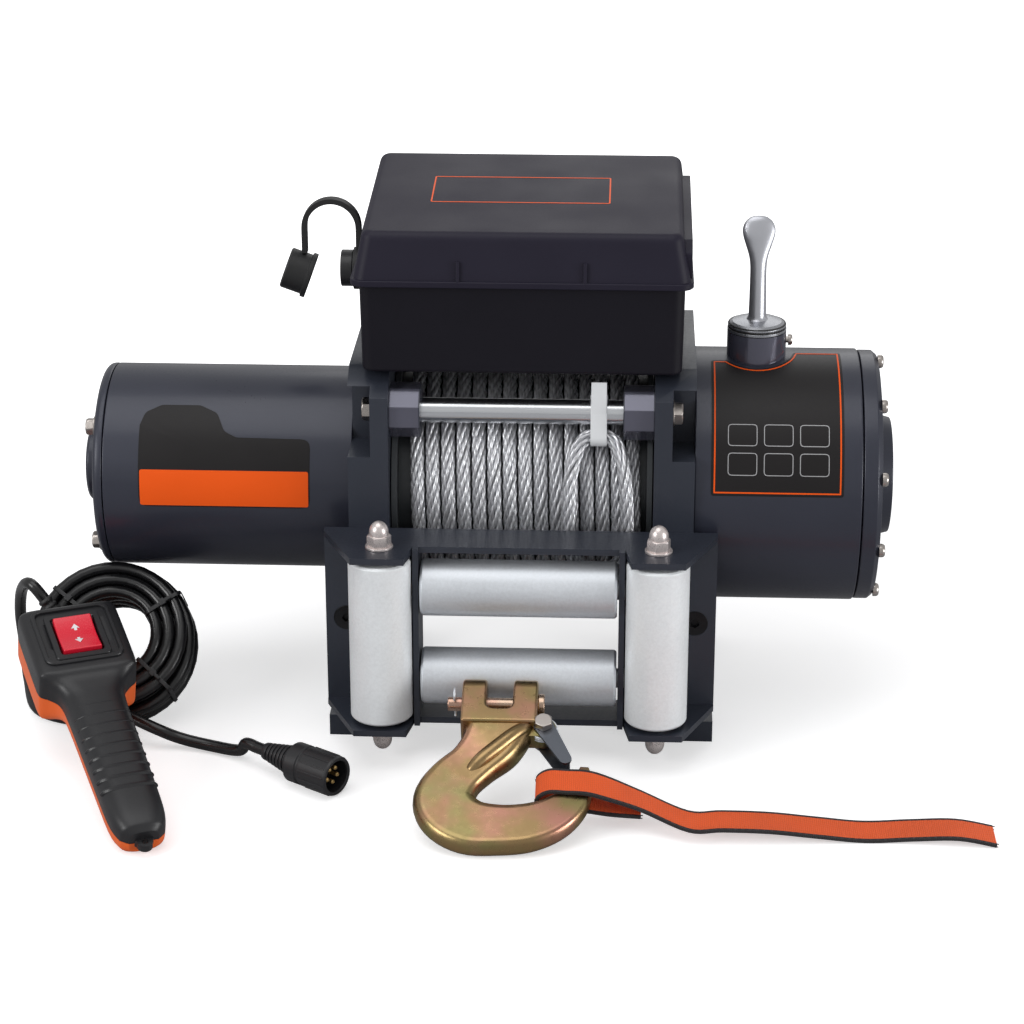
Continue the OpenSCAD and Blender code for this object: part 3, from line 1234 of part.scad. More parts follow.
boot_l = 24;
module cord_plug() color("#1d1d20") translate(plug_place) rotate([0, 90, plug_turn]) difference() {
  union() {
    cylinder(r1 = cord_r + 1.2, r2 = plug_d * 0.42, h = boot_l);
    translate([0, 0, boot_l]) cylinder(d = plug_d, h = plug_l);
  }
  translate([0, 0, boot_l + plug_l * 0.6]) ring(plug_d * 0.39, plug_d * 0.3, plug_l);
}

tie_band = 5;
coil_tie_t = 1.1;
coil_tie_angles = [35, 142, 318];
module cord_ties() color("#0f0f11") translate([coil_x, coil_y, coil_z]) rotate([coil_tilt, 0, 0])
  for (a = coil_tie_angles) rotate(a) translate([(coil_in_r + coil_out_r) / 2, tie_band / 2, 0]) rotate([90, 0, 0])
    linear_extrude(tie_band) difference() {
      polygon(round_rect(tie_box_w + 2 * coil_tie_t, coil_h + 0.2 + 2 * coil_tie_t, cord_r));
      polygon(round_rect(tie_box_w, coil_h + 0.2, cord_r - coil_tie_t));
    }
tie_box_w = coil_out_r - coil_in_r + cord_d + 0.6;

motor_tube();
motor_end_bell();
motor_through_bolts();
motor_magnets();
motor_bearings();
armature();
drum_support_left();
drum_support_right();
drum_bushes();
drum();
rope_core();
rope_winding();
rope_tail();
rope_tie();
front_tie_rod();
rear_tie_rod();
tie_rod_bolts();
drive_shaft();
gearbox_housing();
ring_gear();
sun_gear();
planet_gear_1();
planet_gear_2();
planet_gear_3();
planet_carrier();
gearbox_cover();
cover_screws();
clutch_boss();
clutch_cap();
clutch_lever();
clutch_screw();
control_box_base();
control_box_lid();
contactor();
box_screws();
remote_socket();
socket_cap();
fairlead_frame();
roller_left();
roller_right();
roller_upper();
roller_lower();
roller_pins();
acorn_nuts();
fairlead_bolts();
hook_body();
clevis_pin();
cotter_pin();
hook_latch();
latch_bolt();
pull_strap();
remote_top_shell();
remote_bottom_shell();
remote_rocker();
cord_lead();
cord_coil();
cord_tail();
cord_plug();
cord_ties();
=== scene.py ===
import json
import math

import bmesh
import bpy
from bpy.props import FloatProperty, FloatVectorProperty, IntProperty, PointerProperty
from bpy.types import Operator, Panel, PropertyGroup
from mathutils import Matrix, Vector


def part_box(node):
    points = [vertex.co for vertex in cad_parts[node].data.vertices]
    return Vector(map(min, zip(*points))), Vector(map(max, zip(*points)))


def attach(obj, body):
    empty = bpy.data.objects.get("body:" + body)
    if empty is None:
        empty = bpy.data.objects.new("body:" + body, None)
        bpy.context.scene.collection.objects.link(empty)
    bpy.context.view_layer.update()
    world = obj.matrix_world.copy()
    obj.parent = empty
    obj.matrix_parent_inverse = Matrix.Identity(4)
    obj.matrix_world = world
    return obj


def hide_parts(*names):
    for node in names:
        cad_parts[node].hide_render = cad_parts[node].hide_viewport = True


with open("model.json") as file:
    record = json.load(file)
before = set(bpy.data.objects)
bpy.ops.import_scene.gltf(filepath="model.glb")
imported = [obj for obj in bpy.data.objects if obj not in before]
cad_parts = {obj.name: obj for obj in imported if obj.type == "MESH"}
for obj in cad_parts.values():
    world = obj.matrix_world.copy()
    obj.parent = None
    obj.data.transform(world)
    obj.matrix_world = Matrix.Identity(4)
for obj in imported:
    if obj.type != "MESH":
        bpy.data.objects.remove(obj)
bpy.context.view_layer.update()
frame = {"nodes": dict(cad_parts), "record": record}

bl_info = {
    "name": "Recovery winch",
    "version": (1, 0, 0),
    "blender": (4, 5, 0),
    "location": "View3D > Sidebar > Winch",
    "description": "Dresses the CAD frame of an electric recovery winch, piece by piece",
    "category": "Object",
}

SLOT_COLOUR = {m["slot"]: tuple(m["base_color"]) for m in frame["record"]["materials"]}
SLOT_COLOUR.update({
    "box_plastic": (0.0060, 0.0052, 0.0098),
    "lid_plastic": (0.0125, 0.0105, 0.0225),
    "body_paint": (0.029, 0.032, 0.049),
    "frame_paint": (0.030, 0.035, 0.050),
    "rope_steel": (0.82, 0.83, 0.86),
    "zinc_steel": (0.72, 0.75, 0.79),
    "nut_steel": (0.74, 0.67, 0.65),
    "hook_plating": (0.37, 0.25, 0.12),
    "cord_jacket": (0.0065, 0.0065, 0.0075),
    "red_plastic": (0.72, 0.012, 0.035),
    "strap_webbing": (0.84, 0.105, 0.012),
    "orange_plastic": (0.94, 0.15, 0.02),
})
MM = 0.001
DRUM_AXIS, MOTOR_R = 151.0, 64.5
ROD_Y, ROD_Z, ROD_R = 62, DRUM_AXIS + 61, 7.75
CLUTCH_X = 144.5
AXES_YZX = Matrix(((0, 0, 1, 0), (1, 0, 0, 0), (0, 1, 0, 0), (0, 0, 0, 1)))


# Sizes and colours that a user would change

COLOURS = {
    "body_paint": "Motor and gearbox paint", "frame_paint": "Frame paint", "drum_paint": "Drum paint",
    "box_plastic": "Control box plastic", "lid_plastic": "Lid plastic", "black_plastic": "Black plastic",
    "black_rubber": "Black rubber", "orange_plastic": "Handset lower shell", "red_plastic": "Rocker",
    "zinc_steel": "Bright zinc", "bolt_steel": "Bolt steel", "nut_steel": "Nut steel",
    "rod_chrome": "Tie rod chrome", "gear_steel": "Gear steel", "rope_steel": "Rope wire",
    "tie_white": "White tie", "hook_plating": "Hook plating", "strap_webbing": "Strap webbing",
    "cord_jacket": "Cord jacket",
}


def colour(slot_name, words):
    return FloatVectorProperty(
        name=words, description="Base colour of the " + words.lower(), subtype="COLOR",
        size=3, min=0.0, max=1.0, default=SLOT_COLOUR[slot_name])


def length(words, about, millimetres):
    return FloatProperty(name=words, description=about, unit="LENGTH", subtype="DISTANCE",
                         min=0.0, default=millimetres * MM)


class WinchColours(PropertyGroup):
    __annotations__ = {slot_name: colour(slot_name, words) for slot_name, words in COLOURS.items()}


class WinchSizes(PropertyGroup):
    edge_round: length("Casting edge", "Radius on the edges of the castings", 1.4)
    plate_round: length("Plate edge", "Radius on the edges of the fairlead plate", 0.7)
    rope_lay: length("Rope lay", "Length in which a strand goes once round the rope", 62.0)
    rope_strands: IntProperty(name="Rope strands", description="Strands round the rope",
                              min=5, max=8, default=6)
    stitch_pitch: length("Stitch pitch", "From one stitch of the strap to the next", 4.2)
    grip_pitch: length("Grip pitch", "From one rib of the handset's grip to the next", 5.5)
    label_round: length("Label corner", "Corner radius of the blank labels", 6.0)


# Places and directions

def shift(x, y, z):
    return Matrix.Translation((x, y, z))


def rotate(axis, degrees):
    return Matrix.Rotation(math.radians(degrees), 4, axis)


def polar(r, a, z=0):
    return Vector((r * math.cos(a), r * math.sin(a), z))


def angles(n):
    """n equal steps of a full turn."""
    return [2 * math.pi * k / n for k in range(n)]


def on_axis(x):
    """Local z along +X, local x along +Y and local y along +Z, from the drum's axis."""
    return Matrix.Translation((x, 0, DRUM_AXIS)) @ AXES_YZX


def place_at(point, z_axis, x_axis=(1, 0, 0)):
    """A place whose local z looks along z_axis."""
    z = Vector(z_axis).normalized()
    y = z.cross(Vector(x_axis))
    if y.length < 1e-4:
        y = z.cross(Vector((0, 1, 0)))
    y.normalize()
    x = y.cross(z)
    m = Matrix((x, y, z)).transposed().to_4x4()
    m.translation = Vector(point)
    return m


# Lines, in millimetres

def lerp(a, b, s):
    return a + (b - a) * s


def smooth(route, steps):
    """Points of a smooth curve through a route, with steps points to a stretch."""
    route = [Vector(p) for p in route]
    out = []
    for i in range(len(route) - 1):
        a, b = route[max(i - 1, 0)], route[i]
        c, d = route[i + 1], route[min(i + 2, len(route) - 1)]
        for k in range(steps):
            s = k / steps
            out.append((2 * b + (c - a) * s + (2 * a - 5 * b + 4 * c - d) * s * s
                        + (3 * b - a - 3 * c + d) * s * s * s) / 2)
    out.append(route[-1].copy())
    return out


def arc(cx, cy, r, a0, a1, n):
    out = []
    for i in range(n + 1):
        a = math.radians(a0 + (a1 - a0) * i / n)
        out.append((cx + r * math.cos(a), cy + r * math.sin(a)))
    return out


def soften(line, radius, steps=3, closed=False):
    """A flat line with its corners rounded, as far as its stretches allow."""
    most, flat = 0.45, math.radians(12)
    pts = [Vector(p) for p in line]
    out = []
    for i, p in enumerate(pts):
        if not closed and i in (0, len(pts) - 1):
            out.append(tuple(p))
            continue
        u, v = pts[i - 1] - p, pts[(i + 1) % len(pts)] - p
        lu, lv = u.length, v.length
        if min(lu, lv) < 1e-6:
            continue
        u, v = u / lu, v / lv
        turn = math.pi - u.angle(v)
        if turn < flat:
            out.append(tuple(p))
            continue
        t = min(radius * math.tan(turn / 2), lu * most, lv * most)
        s, e = p + u * t, p + v * t
        for k in range(steps + 1):
            w = k / steps
            out.append(tuple(s * (1 - w) ** 2 + p * 2 * w * (1 - w) + e * w * w))
    return out


def round_rect(w, d, r, n=5):
    out = []
    for q, (sx, sy) in enumerate(((1, 1), (-1, 1), (-1, -1), (1, -1))):
        out += arc(sx * (w / 2 - r), sy * (d / 2 - r), r, 90 * q, 90 * (q + 1), n)
    return out


def dense(outline, step=4.0):
    """A closed outline with points put in, so that no stretch is longer than the step."""
    out = []
    for k in range(len(outline)):
        a, b = Vector(outline[k]), Vector(outline[(k + 1) % len(outline)])
        n = max(1, int((b - a).length / step))
        out += [tuple(a.lerp(b, j / n)) for j in range(n)]
    return out


def offset(outline, d):
    """A closed flat outline moved in by d."""
    out, n = [], len(outline)
    for k in range(n):
        a, b, c = Vector(outline[k - 1]), Vector(outline[k]), Vector(outline[(k + 1) % n])
        u = (b - a).normalized() if (b - a).length else Vector((1, 0))
        v = (c - b).normalized() if (c - b).length else u
        inward, m = Vector((-u.y, u.x)), u + v
        m = Vector((-m.y, m.x)).normalized() if m.length > 1e-6 else inward
        out.append(tuple(b + m * d / max(0.4, m.dot(inward))))
    return out


def heading(path, k):
    return (path[min(k + 1, len(path) - 1)] - path[max(k - 1, 0)]).normalized()


def at_lengths(path, spots):
    """Points of a path at some lengths from its start."""
    out, i, run = [], 0, 0.0
    for s in spots:
        while i < len(path) - 2 and run + (path[i + 1] - path[i]).length < s:
            run += (path[i + 1] - path[i]).length
            i += 1
        step = (path[i + 1] - path[i]).length
        out.append(path[i].lerp(path[i + 1], min(1.0, (s - run) / step)))
    return out


# Closed rings

def circle(r, n=24):
    return [polar(r, a) for a in angles(n)]


def polygon(sides, across, n, cap):
    """n points of a regular polygon, across its flats, cut off at the radius cap."""
    half = math.pi / sides
    return [polar(min(cap, across / 2 / math.cos((a + half) % (2 * half) - half)), a) for a in angles(n)]


def hexagon(across, cap=1e9):
    return polygon(6, across, 24, cap)


def octagon(across):
    return polygon(8, across, 48, 1e9)


def lifted(ring, z):
    return [p + Vector((0, 0, z)) for p in ring]


# Shapes, in millimetres: a shape is its points and its faces

def join(*shapes):
    points, faces = [], []
    for p, f in shapes:
        n = len(points)
        points += list(p)
        faces += [tuple(i + n for i in face) for face in f]
    return points, faces


def moved(shape, place):
    return [place @ Vector(p) for p in shape[0]], shape[1]


def loft(rings, ends=True, wrap=False):
    """A skin over rings of equally many points. wrap joins the last ring to the first."""
    n, m = len(rings[0]), len(rings)
    points = [Vector(p) for ring in rings for p in ring]
    faces = []
    for k in range(m if wrap else m - 1):
        a, b = k * n, (k + 1) % m * n
        for i in range(n):
            j = (i + 1) % n
            faces.append((a + i, a + j, b + j, b + i))
    if ends and not wrap:
        faces.append(tuple(range(n))[::-1])
        faces.append(tuple((m - 1) * n + i for i in range(n)))
    return points, faces


def collar(rings):
    """A skin over rings that follow each other round one section, the last joined to the first."""
    return loft([list(q) for q in zip(*rings)], wrap=True)


def ribbon(path, sides, outs):
    """The four corners of a band at each point of a path, from its half width and half thickness."""
    return [[p - s - t, p + s - t, p + s + t, p - s + t] for p, s, t in zip(path, sides, outs)]


def turned(profile, n=96, place=Matrix(), closed=False):
    """A profile of (radius, height) spun about the local z axis."""
    rings = [[place @ polar(max(r, 0), a, h) for a in angles(n)] for r, h in profile]
    if closed:
        return loft(rings, wrap=True)
    return loft(rings, ends=profile[0][0] > 0 and profile[-1][0] > 0)


def plate(outline, z0, z1, place=Matrix()):
    """A flat outline given a thickness."""
    return loft([[place @ Vector((x, y, z)) for x, y in outline] for z in (z0, z1)])


def block(size, centre, place=Matrix()):
    w, d, h = (s / 2 for s in size)
    outline = [(-w, -d), (w, -d), (w, d), (-w, d)]
    return plate(outline, -h, h, place @ shift(*centre))


def tube(path, radius, n=16, up=(0, 0, 1)):
    """A round tube along a path, without twist; radius is a number or one for each point."""
    path = [Vector(p) for p in path]
    rings, a = [], None
    for i, p in enumerate(path):
        t = heading(path, i)
        if a is None:
            a = t.cross(Vector(up)).normalized()
        a = (a - t * a.dot(t)).normalized()
        b = t.cross(a)
        r = radius[i] if isinstance(radius, (list, tuple)) else radius
        rings.append([p + a * (r * math.cos(q)) + b * (r * math.sin(q)) for q in angles(n)])
    return loft(rings)


def hex_head(across, h, washer=0.0, washer_h=0.0, place=Matrix()):
    """A hex head with its chamfer, on a washer if one is given."""
    shape = loft([lifted(hexagon(across), washer_h - 0.05), lifted(hexagon(across), washer_h + h * 0.82),
                  lifted(hexagon(across, across * 0.515), washer_h + h * 0.94),
                  lifted(circle(across * 0.46), washer_h + h)])
    if washer:
        outline = [(0, 0), (washer, 0), (washer, washer_h), (0, washer_h)]
        shape = join(shape, turned(soften(outline, 0.3, 2), 32))
    return moved(shape, place)


def button_head(d, h):
    """A low round head with a hex recess."""
    r, key = d / 2, d * 0.42
    rings = [lifted(circle(r * wide), z) for wide, z in
             ((1, -0.3), (1, h * 0.45), (0.95, h * 0.72), (0.8, h * 0.94), (0.62, h))]
    rings += [lifted(hexagon(key * wide), z) for wide, z in ((1.04, h), (1, h * 0.93), (1, h * 0.35))]
    return loft(rings)


# From shapes to pieces

def shape_of(piece):
    return [v.co / MM for v in piece.data.vertices], [tuple(p.vertices) for p in piece.data.polygons]


def settle(piece):
    """Put a piece's modifiers into its mesh."""
    graph = bpy.context.evaluated_depsgraph_get()
    mesh = bpy.data.meshes.new_from_object(
        piece.evaluated_get(graph), preserve_all_data_layers=True, depsgraph=graph)
    piece.modifiers.clear()
    old, piece.data = piece.data, mesh
    mesh.name = piece.name
    bpy.data.meshes.remove(old)


def new_object(name, mesh):
    piece = bpy.data.objects.new(name, mesh)
    bpy.context.scene.collection.objects.link(piece)
    return piece


def drop(piece):
    mesh = piece.data
    bpy.data.objects.remove(piece)
    bpy.data.meshes.remove(mesh)


def repair(mesh, weld=0.0, flatten=False):
    """Weld, flatten and turn the faces outward."""
    shell = bmesh.new()
    shell.from_mesh(mesh)
    if weld:
        bmesh.ops.remove_doubles(shell, verts=shell.verts, dist=weld)
        bmesh.ops.dissolve_degenerate(shell, edges=shell.edges, dist=weld)
    if flatten:
        bmesh.ops.dissolve_limit(shell, angle_limit=math.radians(0.7), verts=shell.verts, edges=shell.edges)
    bmesh.ops.recalc_face_normals(shell, faces=shell.faces)
    shell.to_mesh(mesh)
    shell.free()


def build(name, shape, finish=None, bevel=0.0, steps=2, corner=32.0, sharp=38.0, weld=1e-6, flatten=False):
    """A mesh object from a shape in millimetres, with its edges rounded."""
    mesh = bpy.data.meshes.new(name)
    mesh.from_pydata([tuple(Vector(p) * MM) for p in shape[0]], [], [list(f) for f in shape[1]])
    repair(mesh, weld, flatten)
    if finish:
        mesh.materials.append(look(finish))
    piece = new_object(name, mesh)
    if bevel:
        m = piece.modifiers.new("edges", "BEVEL")
        m.width, m.segments, m.limit_method = bevel * MM, steps, "ANGLE"
        m.angle_limit, m.use_clamp_overlap, m.miter_outer = math.radians(corner), True, "MITER_ARC"
        mesh.shade_smooth()
        settle(piece)
    finish_shading(piece, sharp)
    return piece


def finish_shading(piece, sharp=38.0, weighted=True):
    piece.data.shade_smooth()
    piece.data.set_sharp_from_angle(angle=math.radians(sharp))
    if weighted:
        m = piece.modifiers.new("normals", "WEIGHTED_NORMAL")
        m.keep_sharp, m.weight = True, 60
        settle(piece)


def cut(piece, tool):
    """Cut a piece with another, which is then removed."""
    m = piece.modifiers.new("cut", "BOOLEAN")
    m.operation, m.object, m.solver = "DIFFERENCE", tool, "EXACT"
    settle(piece)
    drop(tool)


def hand_over(piece, body, slot_name, *nodes):
    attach(piece, body)
    if nodes:
        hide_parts(*nodes)
    return piece


def make(name, shape, finish, *nodes, body="frame", slot_name=None, **edges):
    """A finished piece in place of some CAD nodes; slot_name is not used."""
    return hand_over(build(name, shape, finish, **edges), body, slot_name or finish, *nodes)


def rounded_node(node, name, finish, slot_name, width, body="frame"):
    """A CAD node again, with rounded edges."""
    make(name, shape_of(frame["nodes"][node]), finish, node, body=body, slot_name=slot_name,
         bevel=width, weld=2e-6, flatten=True)


def paint(node, finish):
    """Give a CAD node its finish."""
    piece = frame["nodes"][node]
    if not piece.data.materials:
        piece.data.materials.append(look(finish))
    for slot_ in piece.material_slots:
        slot_.material = look(finish)


# Node trees

SOCKET_KIND = {"Geometry": "Geometry", "Material": "Material", "Piece": "Object", "Section": "Object",
               "Seed": "Int", "Vector": "Vector", "Cloud Vector": "Vector", "Colour": "Color"}


def group(name, kind, inputs, outputs, body):
    """A node group, built once: body(tree, inputs) returns its outputs in order."""
    tree = bpy.data.node_groups.get(name)
    if tree:
        return tree
    tree = bpy.data.node_groups.new(name, kind)
    for way, labels in (("INPUT", inputs), ("OUTPUT", outputs)):
        for label in labels:
            tree.interface.new_socket(label, in_out=way,
                                      socket_type="NodeSocket" + SOCKET_KIND.get(label, "Float"))
    start, end = tree.nodes.new("NodeGroupInput"), tree.nodes.new("NodeGroupOutput")
    for value, socket in zip(body(tree, start.outputs), end.inputs):
        tree.links.new(value, socket)
    return tree


def wire(tree, kind, ins=None, **settings):
    """A node with its settings and its inputs; an input is a value or a socket to link."""
    node = tree.nodes.new(kind)
    for key, value in settings.items():
        setattr(node, key, value)
    for key, value in (ins or {}).items():
        socket = node.inputs[key]
        if isinstance(value, bpy.types.NodeSocket):
            tree.links.new(value, socket)
        else:
            socket.default_value = value
    return node


def flow(tree, kind, ins=None, out=0, **settings):
    """What a new node gives."""
    return wire(tree, kind, ins, **settings).outputs[out]


def maths(tree, operation, a, b=0.0, c=None, clamp=False):
    ins = {0: a, 1: b} if c is None else {0: a, 1: b, 2: c}
    return flow(tree, "ShaderNodeMath", ins, operation=operation, use_clamp=clamp)


def times(tree, a, b, plus=None, clamp=False):
    return maths(tree, "MULTIPLY" if plus is None else "MULTIPLY_ADD", a, b, plus, clamp)


def ridges(tree, phase):
    """Rounded ridges, one to each half turn of the phase."""
    return maths(tree, "ABSOLUTE", maths(tree, "SINE", phase))


def lit(tree, tint, gain):
    return flow(tree, "ShaderNodeVectorMath", {0: tint, "Scale": gain}, operation="SCALE")


def blend(tree, share, a, b):
    return flow(tree, "ShaderNodeMix", {"Factor": share, 6: a, 7: b}, 2, data_type="RGBA")


def remap(tree, value, lo, hi, to_lo, to_hi):
    return flow(tree, "ShaderNodeMapRange", {
        "Value": value, "From Min": lo, "From Max": hi, "To Min": to_lo, "To Max": to_hi})


def noise(tree, vector, scale, detail, rough):
    return flow(tree, "ShaderNodeTexNoise", {
        "Vector": vector, "Scale": scale, "Detail": detail, "Roughness": rough}, "Fac")


# Skins: each gives a colour, a roughness and a height

def moulded_skin(t, i):
    """Grain and faint unevenness of paint or moulded plastic."""
    fine = noise(t, i["Vector"], i["Grain"], 4, 0.62)
    shade = remap(t, noise(t, i["Vector"], 18.0, 2, 0.5), 0.3, 0.7, -1.0, 1.0)
    rough = times(t, shade, i["Gloss Spread"], i["Roughness"], clamp=True)
    speck = times(t, remap(t, fine, 0.3, 0.7, -1.0, 1.0), 0.05, rough, clamp=True)
    return lit(t, i["Colour"], times(t, shade, i["Spread"], 1.0)), speck, fine


def machined_skin(t, i):
    """Fine tool marks drawn out along one direction, with bright and dull streaks."""
    streak = noise(t, i["Vector"], 1.0, 5, 0.7)
    cloud = noise(t, i["Cloud Vector"], 22.0, 3, 0.55)
    both = maths(t, "ADD", times(t, streak, 0.65), times(t, cloud, 0.35))
    shade = remap(t, both, 0.35, 0.65, -1.0, 1.0)
    rough = times(t, shade, i["Gloss Spread"], i["Roughness"], clamp=True)
    return lit(t, i["Colour"], times(t, shade, i["Spread"], 1.0)), rough, streak


def zinc_film(t, i):
    """Yellow zinc plating: gold that drifts to pink and green."""
    pink, green = (0.52, 0.24, 0.19, 1), (0.29, 0.32, 0.12, 1)
    elsewhere = flow(t, "ShaderNodeVectorMath", {0: i["Vector"], 1: (0.31, 0.17, 0.45)}, operation="ADD")
    pinkish = remap(t, noise(t, i["Vector"], 30.0, 3, 0.55), 0.46, 0.72, 0.0, 0.9)
    greenish = remap(t, noise(t, elsewhere, 38.0, 2, 0.5), 0.5, 0.78, 0.0, 0.8)
    tint = blend(t, greenish, blend(t, pinkish, i["Colour"], pink), green)
    dull = remap(t, noise(t, i["Vector"], 210.0, 4, 0.65), 0.3, 0.7, -0.06, 0.08)
    return tint, maths(t, "ADD", dull, i["Roughness"], clamp=True), noise(t, i["Vector"], 1400.0, 3, 0.6)


def wire_lay(t, i):
    """The single wires of a rope's strand, laid against the strand's own turn, with painted shade between
    them.
    """
    pitch, wires = 220.0, 12.0
    groove, bare = (0.09, 0.09, 0.1, 1), (0.42, 0.42, 0.44, 1)
    phase = maths(t, "ADD", times(t, i["Along"], pitch), times(t, i["Round"], wires))
    ridge = ridges(t, times(t, phase, math.pi))
    # painted shade: the low places between the wires blend towards the groove colour
    dark = times(t, maths(t, "SUBTRACT", 1.0, ridge), 0.5, clamp=True)
    worn = remap(t, noise(t, i["Vector"], 60.0, 4, 0.6), 0.42, 0.7, 0.0, 0.55)
    return blend(t, worn, blend(t, dark, i["Colour"], groove), bare), times(t, dark, 0.3, 0.3), ridge


def webbing_weave(t, i):
    """Webbing: ribs across, fine threads along, painted shade in the weave's hollows, and a dark edge on both
    sides.
    """
    edge_at, edge_blur, edge_tint = 0.405, 0.012, (0.02, 0.018, 0.02, 1)
    rib = ridges(t, times(t, i["Along"], 2600.0))
    skew = ridges(t, times(t, times(t, i["Across"], 11.0), math.pi, times(t, i["Along"], 850.0)))
    height = times(t, rib, times(t, skew, 0.6, 0.4))
    side = maths(t, "ABSOLUTE", maths(t, "SUBTRACT", i["Across"], 0.5))
    edge = remap(t, side, edge_at, edge_at + edge_blur, 0.0, 1.0)
    faded = remap(t, noise(t, i["Vector"], 30.0, 3, 0.5), 0.3, 0.7, 0.80, 0.92)
    # painted shade: the colour is scaled by the weave's height, so its hollows are darker and its ribs
    # lighter
    return blend(t, edge, lit(t, i["Colour"], times(t, height, 0.14, faded)), edge_tint), height


# Materials

def blank(name):
    m = bpy.data.materials.new(name)
    m.use_nodes = True
    t = m.node_tree
    return m, t, next(n for n in t.nodes if n.type == "BSDF_PRINCIPLED")


def attribute(t, name):
    return flow(t, "ShaderNodeAttribute", out="Fac", attribute_name=name)


def skinned(skin, inputs, depth, values, outputs=("Colour", "Roughness", "Height")):
    """A material with a skin. inputs(tree, place) gives what goes into it, values what the shader keeps."""
    m, t, shader = blank("skin")
    ins = inputs(t, flow(t, "ShaderNodeTexCoord", out="Object"))
    g = wire(t, "ShaderNodeGroup", ins,
             node_tree=group(skin.__name__, "ShaderNodeTree", ins, outputs, skin)).outputs
    for label, target in (("Colour", "Base Color"), ("Roughness", "Roughness")):
        if label in outputs:
            t.links.new(g[label], shader.inputs[target])
    for label, value in values.items():
        shader.inputs[label].default_value = value
    bump = flow(t, "ShaderNodeBump", {"Height": g["Height"], "Distance": depth, "Strength": 1.0})
    t.links.new(bump, shader.inputs["Normal"])
    return m


def moulded(tint, rough, grain=900.0, depth=0.00002, spread=0.06, gloss=0.05, metal=0.0, coat=0.0,
            coat_rough=0.1, clear=0.5):
    return skinned(moulded_skin, lambda t, at: {
        "Vector": at, "Colour": tint, "Grain": grain, "Spread": spread, "Roughness": rough,
        "Gloss Spread": gloss}, depth, {
        "Metallic": metal, "Coat Weight": coat, "Coat Roughness": coat_rough, "Specular IOR Level": clear})


def machined(tint, rough, along=(1, 0, 0), spread=0.12, gloss=0.1, depth=0.000006, fine=1500.0, metal=1.0):
    """Metal with tool marks; along is the direction in which they run."""
    scale = tuple(fine * (0.03 if a else 1.0) for a in along)
    return skinned(machined_skin, lambda t, at: {
        "Vector": flow(t, "ShaderNodeMapping", {"Vector": at, "Scale": scale}), "Cloud Vector": at,
        "Colour": tint, "Spread": spread, "Roughness": rough, "Gloss Spread": gloss}, depth,
        {"Metallic": metal})


def plated(tint, rough):
    return skinned(zinc_film, lambda t, at: {"Vector": at, "Colour": tint, "Roughness": rough}, 0.00002,
                   {"Metallic": 1.0})


def wire_rope(tint):
    return skinned(wire_lay, lambda t, at: {
        "Vector": at, "Along": attribute(t, "along"), "Round": attribute(t, "round"), "Colour": tint},
        0.00025, {"Metallic": 0.7})


def webbing(tint):
    return skinned(webbing_weave, lambda t, at: {
        "Vector": at, "Along": attribute(t, "along"), "Across": attribute(t, "across"), "Colour": tint},
        0.0003, {"Roughness": 0.72, "Sheen Weight": 0.06}, ("Colour", "Height"))


